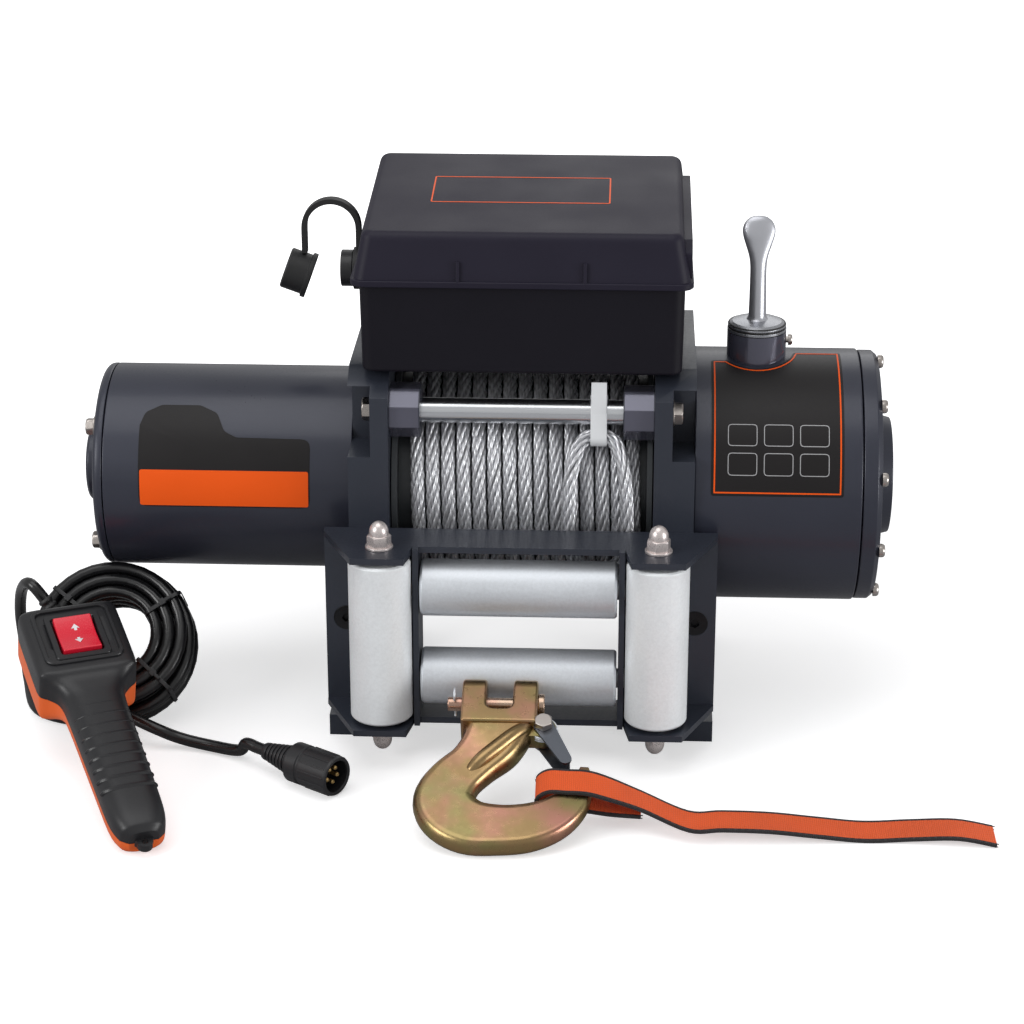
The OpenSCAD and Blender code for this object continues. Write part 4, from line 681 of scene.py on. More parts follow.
# Each finish: its maker, its colour or None for the slot's own, and the maker's values in their order
FINISHES = {
    "body_paint": (moulded, None, 0.36, 650, 0.00003, 0.05, 0.05, 0.25, 0.25, 0.18),
    "frame_paint": (moulded, None, 0.4, 520, 0.00005, 0.06, 0.05, 0.2, 0.2, 0.22),
    "drum_paint": (moulded, None, 0.4, 600, 0.00003, 0.05, 0.06, 0.2),
    "box_plastic": (moulded, None, 0.5, 2600, 0.00005, 0.05, 0.05, 0.0, 0.0, 0.1, 0.22),
    "lid_plastic": (moulded, None, 0.5, 2600, 0.00005, 0.05, 0.05, 0.0, 0.0, 0.1, 0.26),
    "black_plastic": (moulded, None, 0.38, 2200, 0.00004, 0.08, 0.06),
    "black_rubber": (moulded, None, 0.55, 1500, 0.00006, 0.1, 0.08),
    "orange_plastic": (moulded, None, 0.4, 2200, 0.00004, 0.04, 0.05),
    "red_plastic": (moulded, None, 0.26, 1200, 0.00001, 0.03, 0.04, 0.0, 0.3, 0.08),
    "zinc_steel": (machined, None, 0.48, (0, 0, 0), 0.07, 0.06, 0.000012, 520.0, 0.65),
    # painted light: a lighter, less metallic copy of the bright zinc, for the upright rollers only
    "upright_zinc": (machined, (0.91, 0.94, 0.96), 0.46, (0, 0, 0), 0.06, 0.06, 0.000012, 520.0, 0.25),
    "bolt_steel": (machined, None, 0.32, (0, 0, 0), 0.1, 0.08),
    "nut_steel": (machined, None, 0.3, (0, 0, 0), 0.1, 0.08, 0.000006, 1500.0, 0.7),
    "rod_chrome": (machined, None, 0.24, (1, 0, 0), 0.03, 0.04),
    "gear_steel": (machined, None, 0.34, (0, 1, 0), 0.12, 0.1),
    "magnet": (moulded, None, 0.6, 800, 0.00006, 0.1, 0.1, 0.4),
    "core_copper": (machined, None, 0.42, (0, 1, 1), 0.2, 0.12, 0.00003, 900.0),
    "bronze": (machined, None, 0.45, (0, 0, 0), 0.12, 0.1),
    "rope_steel": (wire_rope, None),
    "tie_white": (moulded, None, 0.35, 900, 0.00003, 0.03, 0.05),
    "black_steel": (moulded, None, 0.38, 900, 0.00003, 0.1, 0.08, 0.6),
    "hook_plating": (plated, None, 0.3),
    "pin_plating": (plated, None, 0.26),
    "strap_webbing": (webbing, None),
    "cord_jacket": (moulded, None, 0.3, 300, 0.000002, 0.06, 0.03, 0.0, 0.2, 0.12),
    "lever_grey": (moulded, (0.55, 0.56, 0.6), 0.34, 700, 0.00001, 0.04, 0.04, 0.8),
    "cap_grey": (moulded, (0.42, 0.43, 0.46), 0.3, 700, 0.00001, 0.04, 0.04, 0.85),
    "latch_steel": (machined, (0.13, 0.14, 0.16), 0.38, (0, 0, 0), 0.1, 0.08),
    "label_grey": (moulded, (0.36, 0.36, 0.37), 0.4, 900, 0.000004),
    # painted reflection: a lighter copy of the frame paint, for the bosses round the rods and under the
    # clutch
    "boss_gloss": (moulded, (0.12, 0.12, 0.16), 0.16, 700, 0.00001, 0.1, 0.05, 0.5, 0.4, 0.08),
    "white_mark": (moulded, (0.78, 0.78, 0.8), 0.4, 1500, 0.00001),
    "black_thread": (moulded, (0.02, 0.018, 0.02), 0.6, 2500, 0.0001, 0.1, 0.05),
    "dark_label": (moulded, (0.012, 0.0105, 0.011), 0.4, 900, 0.000004, 0.06, 0.03, 0.0, 0.0, 0.12, 0.25),
    "orange_label": (moulded, (0.86, 0.1, 0.006), 0.4, 900, 0.000004, 0.03, 0.03, 0.0, 0.0, 0.12, 0.2),
}


def look(finish):
    """The material of a finish, made the first time that it is asked for."""
    made = bpy.data.materials.get("winch " + finish)
    if made:
        return made
    maker, tint, *values = FINISHES[finish]
    tint = tint or getattr(bpy.context.scene.winch_colours, finish, None) or SLOT_COLOUR[finish]
    m = maker((*tuple(tint)[:3], 1.0), *values)
    m.name = "winch " + finish
    return m


# Pieces that are repeated along lines or set on points

def dressed(t, i, geometry):
    real = flow(t, "GeometryNodeRealizeInstances", {0: geometry})
    return [flow(t, "GeometryNodeSetMaterial", {"Geometry": real, "Material": i["Material"]})]


def facing(t, axis, vector, ins=None, **settings):
    """A turn that brings a piece's own axis along a direction."""
    ins = {"Vector": vector, **(ins or {})}
    return flow(t, "FunctionNodeAlignRotationToVector", ins, axis=axis, **settings)


def own_axis(t):
    return flow(t, "GeometryNodeInputNamedAttribute", {"Name": "axis"}, data_type="FLOAT_VECTOR")


def stored(t, geometry, name, value):
    return flow(t, "GeometryNodeStoreNamedAttribute", {"Geometry": geometry, "Name": name, "Value": value},
                data_type="FLOAT", domain="POINT")


def instances(t, i, points, rotation):
    piece = flow(t, "GeometryNodeObjectInfo", {"Object": i["Piece"], "As Instance": True}, "Geometry")
    return dressed(t, i, flow(t, "GeometryNodeInstanceOnPoints", {
        "Points": points, "Instance": piece, "Rotation": rotation}))


def on_points(t, i):
    """One piece set on each point, its z axis along the point's axis, and turned by chance."""
    chance = flow(t, "FunctionNodeRandomValue", {2: 0.0, 3: i["Turn"], "Seed": i["Seed"]}, 1,
                  data_type="FLOAT")
    own_turn = flow(t, "FunctionNodeAxisAngleToRotation", {"Axis": (0, 0, 1), "Angle": chance})
    both = flow(t, "FunctionNodeRotateRotation", {0: facing(t, "Z", own_axis(t)), 1: own_turn},
                rotation_space="LOCAL")
    return instances(t, i, i["Geometry"], both)


def on_line(t, i):
    """One piece repeated along a line, its x axis along the line and its z axis off the surface."""
    line = flow(t, "GeometryNodeMeshToCurve", {0: i["Geometry"]})
    dots = wire(t, "GeometryNodeCurveToPoints", {"Curve": line, "Length": i["Pitch"]}, mode="LENGTH").outputs
    way = facing(t, "X", dots["Tangent"], {"Rotation": facing(t, "Z", own_axis(t))}, pivot_axis="Z")
    return instances(t, i, dots["Points"], way)


def strands(t, i):
    """A rope's strands laid round a line: the section is carried along and turns once to a lay."""
    line = flow(t, "GeometryNodeMeshToCurve", {0: i["Geometry"]})
    even = flow(t, "GeometryNodeResampleCurve", {"Curve": line, "Length": i["Ring Pitch"]}, mode="LENGTH")
    run = wire(t, "GeometryNodeSplineParameter").outputs
    kept = stored(t, even, "along", run["Length"])
    angle = times(t, maths(t, "DIVIDE", run["Length"], i["Lay"]), 2 * math.pi)
    tilt = flow(t, "GeometryNodeSetCurveTilt", {"Curve": kept, "Tilt": angle})
    part = flow(t, "GeometryNodeObjectInfo", {"Object": i["Section"]}, "Geometry")
    edge = flow(t, "GeometryNodeMeshToCurve", {0: part})
    marked = stored(t, edge, "round", flow(t, "GeometryNodeSplineParameter", out="Factor"))
    return dressed(t, i, flow(t, "GeometryNodeCurveToMesh", {
        "Curve": tilt, "Profile Curve": marked, "Fill Caps": True}))


def grow(name, body, points, edges, finish, values, axes=None, sharp=38.0):
    """Run a tree on some points and keep the mesh that it makes. Points are in millimetres."""
    mesh = bpy.data.meshes.new(name)
    mesh.from_pydata([tuple(Vector(p) * MM) for p in points], edges, [])
    if axes:
        layer = mesh.attributes.new("axis", "FLOAT_VECTOR", "POINT")
        layer.data.foreach_set("vector", [c for a in axes for c in Vector(a).normalized()])
    piece = new_object(name, mesh)
    m = piece.modifiers.new("repeat", "NODES")
    values = {"Material": look(finish), **values}
    m.node_group = group(body.__name__, "GeometryNodeTree", ["Geometry", *values], ["Geometry"], body)
    for item in m.node_group.interface.items_tree:
        if item.in_out == "INPUT" and item.name in values:
            m[item.identifier] = values[item.name]
    settle(piece)
    finish_shading(piece, sharp, weighted=False)
    return piece


def fasteners(name, pattern, spots, finish, node, turn=1.0):
    """pattern is one fastener's object; spots are (point, axis)."""
    piece = grow(name, on_points, [p for p, a in spots], [], finish,
                 {"Piece": pattern, "Turn": turn, "Seed": 4}, [a for p, a in spots])
    drop(pattern)
    hand_over(piece, "frame", finish, node)


def links(line):
    return [(k, k + 1) for k in range(len(line) - 1)]


def along_line(name, pattern, line, axes, pitch, finish):
    piece = grow(name, on_line, line, links(line), finish, {"Piece": pattern, "Pitch": pitch * MM}, axes)
    drop(pattern)
    return piece


# Stage

class WINCH_OT_stage(Operator):
    """Set the camera, the lamps, the world and the floor"""
    bl_idname = "winch.stage"
    bl_label = "Stage"

    LAMPS = {"overhead lamp": ((-0.25, -0.35, 1.75), 1.5, 8.0), "left lamp": ((-1.6, -1.3, 1.0), 1.1, 16.0),
             "right lamp": ((1.85, -0.9, 0.4), 0.9, 15.0), "rear lamp": ((0.2, 1.7, 1.2), 1.2, 3.0)}

    def execute(self, context):
        scene = context.scene
        scene.view_settings.view_transform = "Standard"
        camera = bpy.data.cameras.new("camera")
        camera.lens, camera.sensor_width = 98.1, 36.0
        scene.camera = self.aimed("camera", camera, (0.0641, -1.6732, 0.7807), (-0.009, 0.0, 0.121))
        for name, (spot, size, power) in self.LAMPS.items():
            lamp = bpy.data.lights.new(name, "AREA")
            lamp.shape, lamp.size, lamp.energy = "DISK", size, power
            self.aimed(name, lamp, spot, (0, 0, 0.12))
        world = bpy.data.worlds.new("studio")
        scene.world = world
        world.use_nodes = True
        t = world.node_tree
        back = next(n for n in t.nodes if n.type == "BACKGROUND")
        back.inputs["Color"].default_value = (1, 1, 1, 1)
        t.links.new(remap(t, self.seen(t), 0.0, 1.0, 0.5, 1.0), back.inputs["Strength"])
        self.floor()
        return {"FINISHED"}

    @staticmethod
    def aimed(name, data, spot, aim):
        holder = new_object(name, data)
        holder.location = spot
        holder.rotation_euler = (Vector(aim) - holder.location).to_track_quat("-Z", "Y").to_euler()
        return holder

    @staticmethod
    def seen(t):
        """1 for rays that come straight from the camera."""
        return flow(t, "ShaderNodeLightPath", out="Is Camera Ray")

    def floor(self):
        """White in the view, and grey for the light that it throws on the winch."""
        under, shown = (0.40, 0.40, 0.41, 1), (0.84, 0.84, 0.85, 1)
        mesh = bpy.data.meshes.new("floor")
        mesh.from_pydata([polar(9, a) for a in angles(64)], [], [tuple(range(64))])
        m, t, shader = blank("floor")
        seen = self.seen(t)
        t.links.new(blend(t, seen, under, shown), shader.inputs["Base Color"])
        shader.inputs["Roughness"].default_value = 0.75
        shader.inputs["Specular IOR Level"].default_value = 0.15
        at = flow(t, "ShaderNodeTexCoord", out="Object")
        away = flow(t, "ShaderNodeVectorMath", {0: at}, "Value", operation="LENGTH")
        far = remap(t, away, 0.3, 0.9, 0.5, 1.0)
        glow = flow(t, "ShaderNodeEmission", {"Color": (1, 1, 1, 1), "Strength": times(t, far, seen)})
        both = flow(t, "ShaderNodeAddShader", {0: shader.outputs[0], 1: glow})
        out = next(n for n in t.nodes if n.type == "OUTPUT_MATERIAL")
        t.links.new(both, out.inputs["Surface"])
        mesh.materials.append(m)
        new_object("floor", mesh)


# The handset's cord. The places of the loose pieces are those of the part's source

HAND_FOOT, HAND_L, HAND_W, HAND_H = Vector((-212, -246.77, 8.8)), 196.0, 62.0, 39.0
HAND_PLACE = Matrix.Translation(HAND_FOOT) @ rotate("Z", 24) @ rotate("X", 17.7)
HAND_WAY = (HAND_PLACE.to_3x3() @ Vector((0, 1, 0))).normalized()
CORD_EXIT = HAND_FOOT + HAND_WAY * HAND_L
CORD_D, COIL_PITCH, COIL_IN, COIL_TURNS, COIL_LAYERS = 7.5, 7.95, 25.6, 3, 4
COIL_WIDTH = COIL_TURNS * COIL_PITCH
COIL_OUT, COIL_H = COIL_IN + COIL_WIDTH, COIL_LAYERS * COIL_PITCH
COIL_START, COIL_TILT = 270, math.radians(50)
COIL_SINK, COIL_PRESS = 1.2, 0.68
COIL_Z = (COIL_OUT + CORD_D / 2) * math.sin(COIL_TILT) + COIL_H / 2 * math.cos(COIL_TILT) - COIL_SINK
COIL_Y = (((DRUM_AXIS - COIL_Z) * math.sin(COIL_TILT) - (COIL_OUT + CORD_D / 2 - COIL_PITCH / 2)
           - MOTOR_R + COIL_PRESS) / math.cos(COIL_TILT))
COIL_PLACE = shift(-260, COIL_Y, COIL_Z) @ Matrix.Rotation(COIL_TILT, 4, "X")
PLUG_PLACE, PLUG_WAY = Vector((-155, -134, 13)), polar(1, math.radians(-35))


def coil_point(turn):
    """A point of the coil; each layer winds in or out, and climbs to the next in half a turn."""
    layer = min(COIL_LAYERS - 1, int(turn / COIL_TURNS))
    f = turn / COIL_TURNS - layer
    r = COIL_OUT - COIL_WIDTH * f if layer % 2 == 0 else COIL_IN + COIL_WIDTH * f
    near = round(turn / COIL_TURNS)
    step = turn - near * COIL_TURNS
    if 0 < near < COIL_LAYERS:
        climb = max(-0.25, min(0.25, step)) / 0.5
    else:
        climb = 0.5 if near == 0 else -0.5
    z = (near + climb - 0.5) * COIL_PITCH - COIL_H / 2 + COIL_PITCH / 2
    return polar(r, math.radians(COIL_START + 360 * turn), z)


def cord_route():
    """The whole cord: out of the handset, round the coil and on to the plug."""
    rings = 36
    coil = [coil_point(k / rings) for k in range(COIL_LAYERS * COIL_TURNS * rings + 1)]
    start, end = coil[0] - Vector((CORD_D, 0, 0)), coil[-1] + Vector((CORD_D, 0, 0))
    world = [COIL_PLACE @ p for p in [start] + coil + [end]]
    lead = smooth([
        CORD_EXIT + HAND_WAY * CORD_D, CORD_EXIT + HAND_WAY * 2 * CORD_D + Vector((-4, 0, 1)),
        (-311, -60, 90), (-321, -44, 80), (-326, -32, 58), (-325, -30, 34), (-321, -42, 15), (-311, -66, 6),
        COIL_PLACE @ (start - Vector((2.4 * CORD_D, 0, 0))), world[0] + (world[0] - world[1]) * 0.02], 6)
    tail = smooth([
        world[-1] + (world[-1] - world[-2]) * 0.02, (-228, -106, 13), (-212, -107, 7), (-193, -111, 4.4),
        (-174, -120, 6), PLUG_PLACE - PLUG_WAY * 2.2 * CORD_D, PLUG_PLACE - PLUG_WAY * CORD_D], 6)
    return [CORD_EXIT] + lead[:-1] + world + tail[1:] + [PLUG_PLACE]


def contacts(name, foot, shoulder, tip, r, soft, radius, spots, place):
    """Round contacts in a ring, inside a plug or a socket."""
    profile = soften([(0, foot), (r, foot), (r, shoulder), (0, tip)], soft, 2)
    pins = [turned(profile, 16, place @ Matrix.Translation(polar(radius, a))) for a in spots]
    return make(name, join(*pins), "bronze")


class WINCH_OT_cord(Operator):
    """Make the handset's cord in one piece, with its sleeve, its ties and its plug"""
    bl_idname = "winch.cord"
    bl_label = "Cord, ties and plug"

    def execute(self, context):
        route = cord_route()
        cord = make("handset_cord", tube(route, CORD_D / 2, 18), "cord_jacket",
                    "cord_lead", "cord_coil", "cord_tail")
        sleeve = self.sleeve(route)
        ties = self.ties()
        plug = self.plug()
        return {"FINISHED"}

    def sleeve(self, route):
        """Tapered sleeve with rings, where the cord leaves the handset."""
        wide, narrow, groove, plain = 6.6, 4.5, 0.7, 4
        spots = [k * 0.75 for k in range(-3, 38)]
        path = [CORD_EXIT - HAND_WAY * abs(s) if s < 0 else at_lengths(route, [s])[0] for s in spots]
        radii = []
        for k, s in enumerate(spots):
            r = lerp(wide, narrow, max(0, s) / spots[-1])
            radii.append(r if (k // 3) % 2 == 0 or s < plain else r - groove)
        radii[-1] -= 0.35
        return make("cord_sleeve", tube(path, radii, 24), "black_rubber", sharp=50)

    def ties(self):
        """Three ties round the coil, with their locks."""
        high, half_band, half_t = COIL_H + 1.3, Vector((0, 1.3, 0)), 0.4
        shapes = []
        for angle in (35, 142, 318):
            share = (angle - COIL_START) / 360 % 1
            wide = COIL_OUT - COIL_IN - 2 * min(share, 1 - share) * COIL_PITCH + CORD_D + 1.0
            turn = COIL_PLACE @ rotate("Z", angle) @ shift((COIL_IN + COIL_OUT) / 2, 0, 0)
            line = [Vector((x, 0, z)) for x, z in round_rect(wide, high, 4.4, 6)]
            rings = ribbon(line, [half_band] * len(line), [p.normalized() * half_t for p in line])
            shapes.append(moved(loft(rings, wrap=True), turn))
            lock = turn @ shift(0, 0, high / 2 + 1.0)
            shapes += [block((3.8, 4.2, 2.2), (0, 0, 0), lock), block((5.0, 2.2, 0.7), (3.6, 0, 0.5), lock)]
        return make("cord_ties", join(*shapes), "black_plastic", "cord_ties", bevel=0.25)

    def plug(self):
        place = place_at(PLUG_PLACE, PLUG_WAY, (0, 0, 1))
        line = [(0, 0), (5.2, 0)]
        for k in range(6):
            z, r = 2.0 + 3.2 * k, 5.2 + 0.62 * k
            line += [(r + 0.5, z), (r + 0.6, z + 1.9), (r - 0.4, z + 2.1), (r - 0.3, z + 2.9)]
        line += [(9.9, 22.5), (11.6, 24), (12.5, 24.6), (12.5, 33), (11.7, 33.6), (11.7, 35.2), (12.5, 35.8),
                 (12.5, 56.6), (11.9, 58), (10.3, 58), (9.8, 57.3), (9.8, 45), (0, 45)]
        body = make("plug_body", turned(soften(line, 0.45, 2), 56, place), "black_plastic", "cord_plug",
                    sharp=44)
        rib = build("rib", block((19.5, 1.1, 1.3), (0, 0, 0)), bevel=0.35)
        ribs = [moved(shape_of(rib), place_at(place @ polar(12.3, a, 46.2), place.to_3x3() @ polar(1, a),
                                              PLUG_WAY)) for a in angles(14)]
        drop(rib)
        return [body, make("plug_ribs", join(*ribs), "black_plastic"),
                contacts("plug_pins", 44, 54, 55.4, 1.5, 0.5, 4.8, (0.5, 1.9, 3.2, 4.4, 5.6), place)]


# The rope

ROPE_R, PACK_R, PACK_TURNS = 4.6, 68.3, 15
TAIL_R, EYE_X, EYE_W = 72.9 + ROPE_R + 0.8, 47.0, 36.0


class WINCH_OT_rope(Operator):
    """Wind the wire rope on the drum, hang its eye on the front rod and tie it there"""
    bl_idname = "winch.rope"
    bl_label = "Rope, eye and tie"

    def execute(self, context):
        low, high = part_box("rope_winding")
        travel = (high[0] - low[0]) / MM - 2 * ROPE_R - 0.4
        turn_steps = 48
        steps = PACK_TURNS * turn_steps
        path = []
        for k in range(steps + 1):
            a = 2 * math.pi * k / turn_steps
            path.append(Vector((-travel / 2 + travel * k / steps,
                                PACK_R * math.sin(a), DRUM_AXIS - PACK_R * math.cos(a))))
        hand_over(self.laid("drum_rope", path, 5.2), "drum_body", "rope_steel", "rope_winding")
        paint("rope_core", "drum_paint")
        angle = [222, 212, 202, 192, 182, 172, 162, 152.5, 146, 144]
        share = [0.10, 0.26, 0.42, 0.50, 0.50, 0.49, 0.46, 0.38, 0.24, 0]
        route = [self.on_pack(EYE_X - EYE_W * s, a) for s, a in zip(share, angle)]
        route += [self.on_pack(EYE_X + EYE_W * s, a) for s, a in list(zip(share, angle))[-2::-1]]
        hand_over(self.laid("rope_eye", smooth(route, 8), 2.4), "frame", "rope_steel", "rope_tail")
        self.tie()
        return {"FINISHED"}

    @staticmethod
    def on_pack(x, angle):
        """A point on the wound rope, lifted a little where the eye nears the rod."""
        lift = 2 * max(0.0, min(1.0, (165 - angle) / 15))
        return on_body(x, TAIL_R + lift, angle)

    def laid(self, name, path, ring_pitch):
        """Rope along a path: its section is a ring of strands that turns along it."""
        sizes = bpy.context.scene.winch_sizes
        n, count = sizes.rope_strands, 6
        rs = ROPE_R * math.sin(math.pi / n) / (1 + math.sin(math.pi / n))
        centre = ROPE_R - rs
        points = []
        for k in range(n):
            for j in range(count):
                a = 2 * math.pi / n * (j / count - 0.5)
                inside = rs * rs - (centre * math.sin(a)) ** 2
                r = centre * math.cos(a) + math.sqrt(max(0.0, inside))
                points.append(polar(r * MM, 2 * math.pi * k / n + a))
        mesh = bpy.data.meshes.new("section")
        mesh.from_pydata(points, [(k, (k + 1) % len(points)) for k in range(len(points))], [])
        section = new_object("section", mesh)
        piece = grow(name, strands, path, links(path), "rope_steel", {
            "Section": section, "Ring Pitch": ring_pitch * MM, "Lay": sizes.rope_lay}, sharp=70)
        drop(section)
        return piece

    def tie(self):
        """A flat nylon tie round the rod and the eye, with its lock and its cut end."""
        rod, eye = Vector((0, -ROD_Y, ROD_Z)), self.on_pack(0, 144)
        eye = Vector((0, eye.y, eye.z))
        big, small = ROD_R + 0.85, ROPE_R + 1.9
        way = (eye - rod).normalized()
        lean = math.acos(max(-1, min(1, (big - small) / (eye - rod).length)))
        base = math.atan2(way.z, way.y)
        line, outs = [], []
        for centre, r, a0, a1 in ((rod, big, base + lean, base + 2 * math.pi - lean),
                                  (eye, small, base - lean, base + lean)):
            for k in range(15):
                a = lerp(a0, a1, k / 14)
                outs.append(Vector((0, math.cos(a), math.sin(a))))
                line.append(centre + outs[-1] * r + Vector((EYE_X, 0, 0)))
        rings = ribbon(line, [Vector((5.0, 0, 0))] * len(line), [out * 0.5 for out in outs])
        lock = place_at(line[7] + outs[7] * 1.5, outs[7], (0, 0, 1))
        shapes = [loft(rings, wrap=True), block((10.0, 10.5, 2.6), (0, 0, -0.4), lock),
                  block((9.4, 1.2, 26.0), (EYE_X, rod.y - big + 0.3, rod.z + 9.0))]
        make("rope_tie_band", join(*shapes), "tie_white", "rope_tie", bevel=0.25)


# The hook's place and the strap

HOOK_L, HOOK_TILT = 114.0, math.radians(23.5)
HOOK_AT = Vector((-10, -139.05, HOOK_L * (0.958 * math.sin(HOOK_TILT) + 0.0585 * math.cos(HOOK_TILT))))
HOOK_PLACE = Matrix.Translation(HOOK_AT) @ Matrix.Rotation(HOOK_TILT, 4, "X")
LUG_PLACE = HOOK_PLACE @ shift(27.0, -22.0, 0)
STRAP_W, STRAP_T, LANES = 25.0, 1.8, 12


class WINCH_OT_strap(Operator):
    """Lay the pull strap: webbing sewn in a loop round the hook, then out over the floor"""
    bl_idname = "winch.strap"
    bl_label = "Pull strap"

    def execute(self, context):
        floor = [(284, -205, 1.6), (262, -204, 5), (236, -202, 3), (208, -202, 1.3), (180, -204, 4.5),
                 (152, -206, 8), (124, -207, 9), (104, -207, 8.5)]
        loop = [(86, -9), (66, 2), (54, 6.8), (42, 7.6), (32, 7.8), (26, 3.5), (24.5, -2), (29, -7.2),
                (40, -8), (54, -9.5), (68, -12.5), (86, -15.5)]
        stops, sides = [Vector(p) for p in floor], [Vector((0, 1, 0))] * len(floor)
        for u, w in loop:
            share = max(0.0, min(1.0, (86 - u) / 40))
            stops.append(HOOK_PLACE @ Vector((u, -0.575 * HOOK_L, w)))
            a = HOOK_TILT * share
            sides.append(Vector((0, math.cos(a), math.sin(a))) * (1 - 0.28 * share))
        path, side = smooth(stops, 6), smooth(sides, 6)
        outs = [heading(path, k).cross(side[k]).normalized() for k in range(len(path))]
        run = [0.0]
        for k in range(1, len(path)):
            run.append(run[-1] + (path[k] - path[k - 1]).length)
        piece, area = self.band(path, side, outs, run)
        seams = self.stitches(path, side, outs, run)
        return {"FINISHED"}

    def band(self, path, side, outs, run):
        """The webbing, with each point's length along it and its place across it."""
        rings, area = [], 0.0
        for k, p in enumerate(path):
            top = [p + side[k] * (STRAP_W / 2) * lerp(-1, 1, j / LANES) for j in range(LANES + 1)]
            up = outs[k] * STRAP_T / 2
            rings.append([q - up for q in top] + [q + up for q in top[::-1]])
            if k:
                area += (p - path[k - 1]).length * STRAP_W * (side[k].length + side[k - 1].length) / 2
        points, faces = loft(rings)
        mesh = bpy.data.meshes.new("pull_strap_webbing")
        mesh.from_pydata([tuple(p * MM) for p in points], [], faces)
        n = len(rings[0])
        across = [j / LANES for j in range(LANES + 1)]
        across += [1 - s for s in across]
        for name, values in (("along", [run[i // n] * MM for i in range(len(points))]),
                             ("across", [across[i % n] for i in range(len(points))])):
            mesh.attributes.new(name, "FLOAT", "POINT").data.foreach_set("value", values)
        mesh.materials.append(look("strap_webbing"))
        piece = new_object("pull_strap_webbing", mesh)
        repair(mesh)
        finish_shading(piece, 50)
        return hand_over(piece, "frame", "strap_webbing", "pull_strap"), area

    def stitches(self, path, side, outs, run):
        """Black thread along both edges, and across where the loop and the end are sewn."""
        pitch = bpy.context.scene.winch_sizes.stitch_pitch / MM
        stitch = soften([(0, -1.3), (0.32, -1.2), (0.36, 0), (0.32, 1.2), (0, 1.3)], 0.1, 1)
        shapes = []
        for share in (-0.88, 0.88):
            for face in (1, -1):
                axes = [out * face for out in outs]
                line = [p + s * 12.5 * share + a * 0.92 for p, s, a in zip(path, side, axes)]
                thread = build("thread", turned(stitch, 6, rotate("Y", 90)))
                made = along_line("stitches", thread, line, axes, pitch, "black_thread")
                shapes.append(shape_of(made))
                drop(made)
        for s in (6.0, 9.5, 196.0, 199.5):
            i = next(k for k, r in enumerate(run) if r >= s)
            out = (path[i + 1] - path[i]).normalized().cross(side[i]).normalized()
            for j in range(9):
                at = path[i] + side[i] * 12.5 * lerp(-0.78, 0.78, j / 8) + out * 0.95
                shapes.append(turned([(0, -1.1), (0.34, -1), (0.38, 0), (0.34, 1), (0, 1.1)], 6,
                                     place_at(at, side[i], out)))
        return make("strap_stitches", join(*shapes), "black_thread", slot_name="strap_webbing")


class WINCH_OT_supports(Operator):
    """Finish the two drum supports, the drum, the tie rods and their bolts"""
    bl_idname = "winch.supports"
    bl_label = "Supports, drum and rods"

    def execute(self, context):
        edge = context.scene.winch_sizes.edge_round / MM
        for side in ("left", "right"):
            rounded_node("drum_support_" + side, "support_" + side, "frame_paint", "frame_paint", edge)
        paint("drum", "drum_paint")
        line = soften([(0, -80.8), (ROD_R, -80.8), (ROD_R, 80.8), (0, 80.8)], 0.8, 3)
        for name, y in (("front", -ROD_Y), ("rear", ROD_Y)):
            make(name + "_rod", turned(line, 64, place_at((0, y, ROD_Z), (1, 0, 0), (0, 1, 0))), "rod_chrome",
                 name + "_tie_rod")
        rings = [lifted(octagon(31.2), 0.2), lifted(octagon(31.2), 18.4), lifted(octagon(29.8), 19.1),
                 lifted(circle(8.6, 48), 19.1), lifted(circle(7.95, 48), 18.5), lifted(circle(7.95, 48), 0.2)]
        corners = [(sx, sy) for sx in (-1, 1) for sy in (-1, 1)]
        sleeves = [moved(collar(rings), place_at((sx * 81.0, sy * ROD_Y, ROD_Z), (-sx, 0, 0), (0, 0, 1)))
                   for sx, sy in corners]
        # the sleeves over the rod bosses carry the lighter boss paint, a painted reflection
        make("rod_sleeves", join(*sleeves), "boss_gloss", slot_name="frame_paint", bevel=0.5, corner=40)
        head = build("head", hex_head(12.8, 5.2, 8.0, 1.2), bevel=0.2)
        spots = [((sx * 92.0, sy * ROD_Y, ROD_Z), (sx, 0, 0)) for sx, sy in corners]
        fasteners("rod_bolt_heads", head, spots, "bolt_steel", "tie_rod_bolts")
        return {"FINISHED"}


# Round housings and the labels on them

def on_body(x, r, angle):
    """A point round the drum's axis, by its angle in degrees."""
    a = math.radians(angle)
    return Vector((x, r * math.cos(a), DRUM_AXIS + r * math.sin(a)))


def laid_on(x, s, r, h):
    """A point h off a body of radius r, s being its way round from the front."""
    a = s / r
    return Vector((x, -(r + h) * math.cos(a), DRUM_AXIS + (r + h) * math.sin(a)))


def wrapped(outline, r, lift):
    """A thin plate with this outline of (x, way round) laid on a round body."""
    shrink = (1.0, 0.985, 0.9, 0.8, 0.7, 0.6, 0.5, 0.4, 0.3, 0.2, 0.1, 0.02)
    cx, cs = (sum(p[i] for p in outline) / len(outline) for i in (0, 1))

    def ring(k, h):
        return [laid_on(cx + (x - cx) * k, cs + (s - cs) * k, r, h) for x, s in outline]
    rings = [ring(k, -0.4) for k in shrink[::-1]] + [ring(1.0, lift * 0.7), ring(0.998, lift)]
    return loft(rings + [ring(k, lift) for k in shrink[1:]])


def wrapped_border(outline, r, inset, width, lift):
    """A thin raised line inside the edge of a label."""
    return collar([[laid_on(x, s, r, h) for x, s in offset(outline, d)] for d, h in
                   ((inset, 0), (inset, lift), (inset + width, lift), (inset + width, 0))])


MOTOR_FOOT, MOTOR_L = -262.0, 156.0
GEAR_R, GEAR_FOOT = 80.0, 106.0


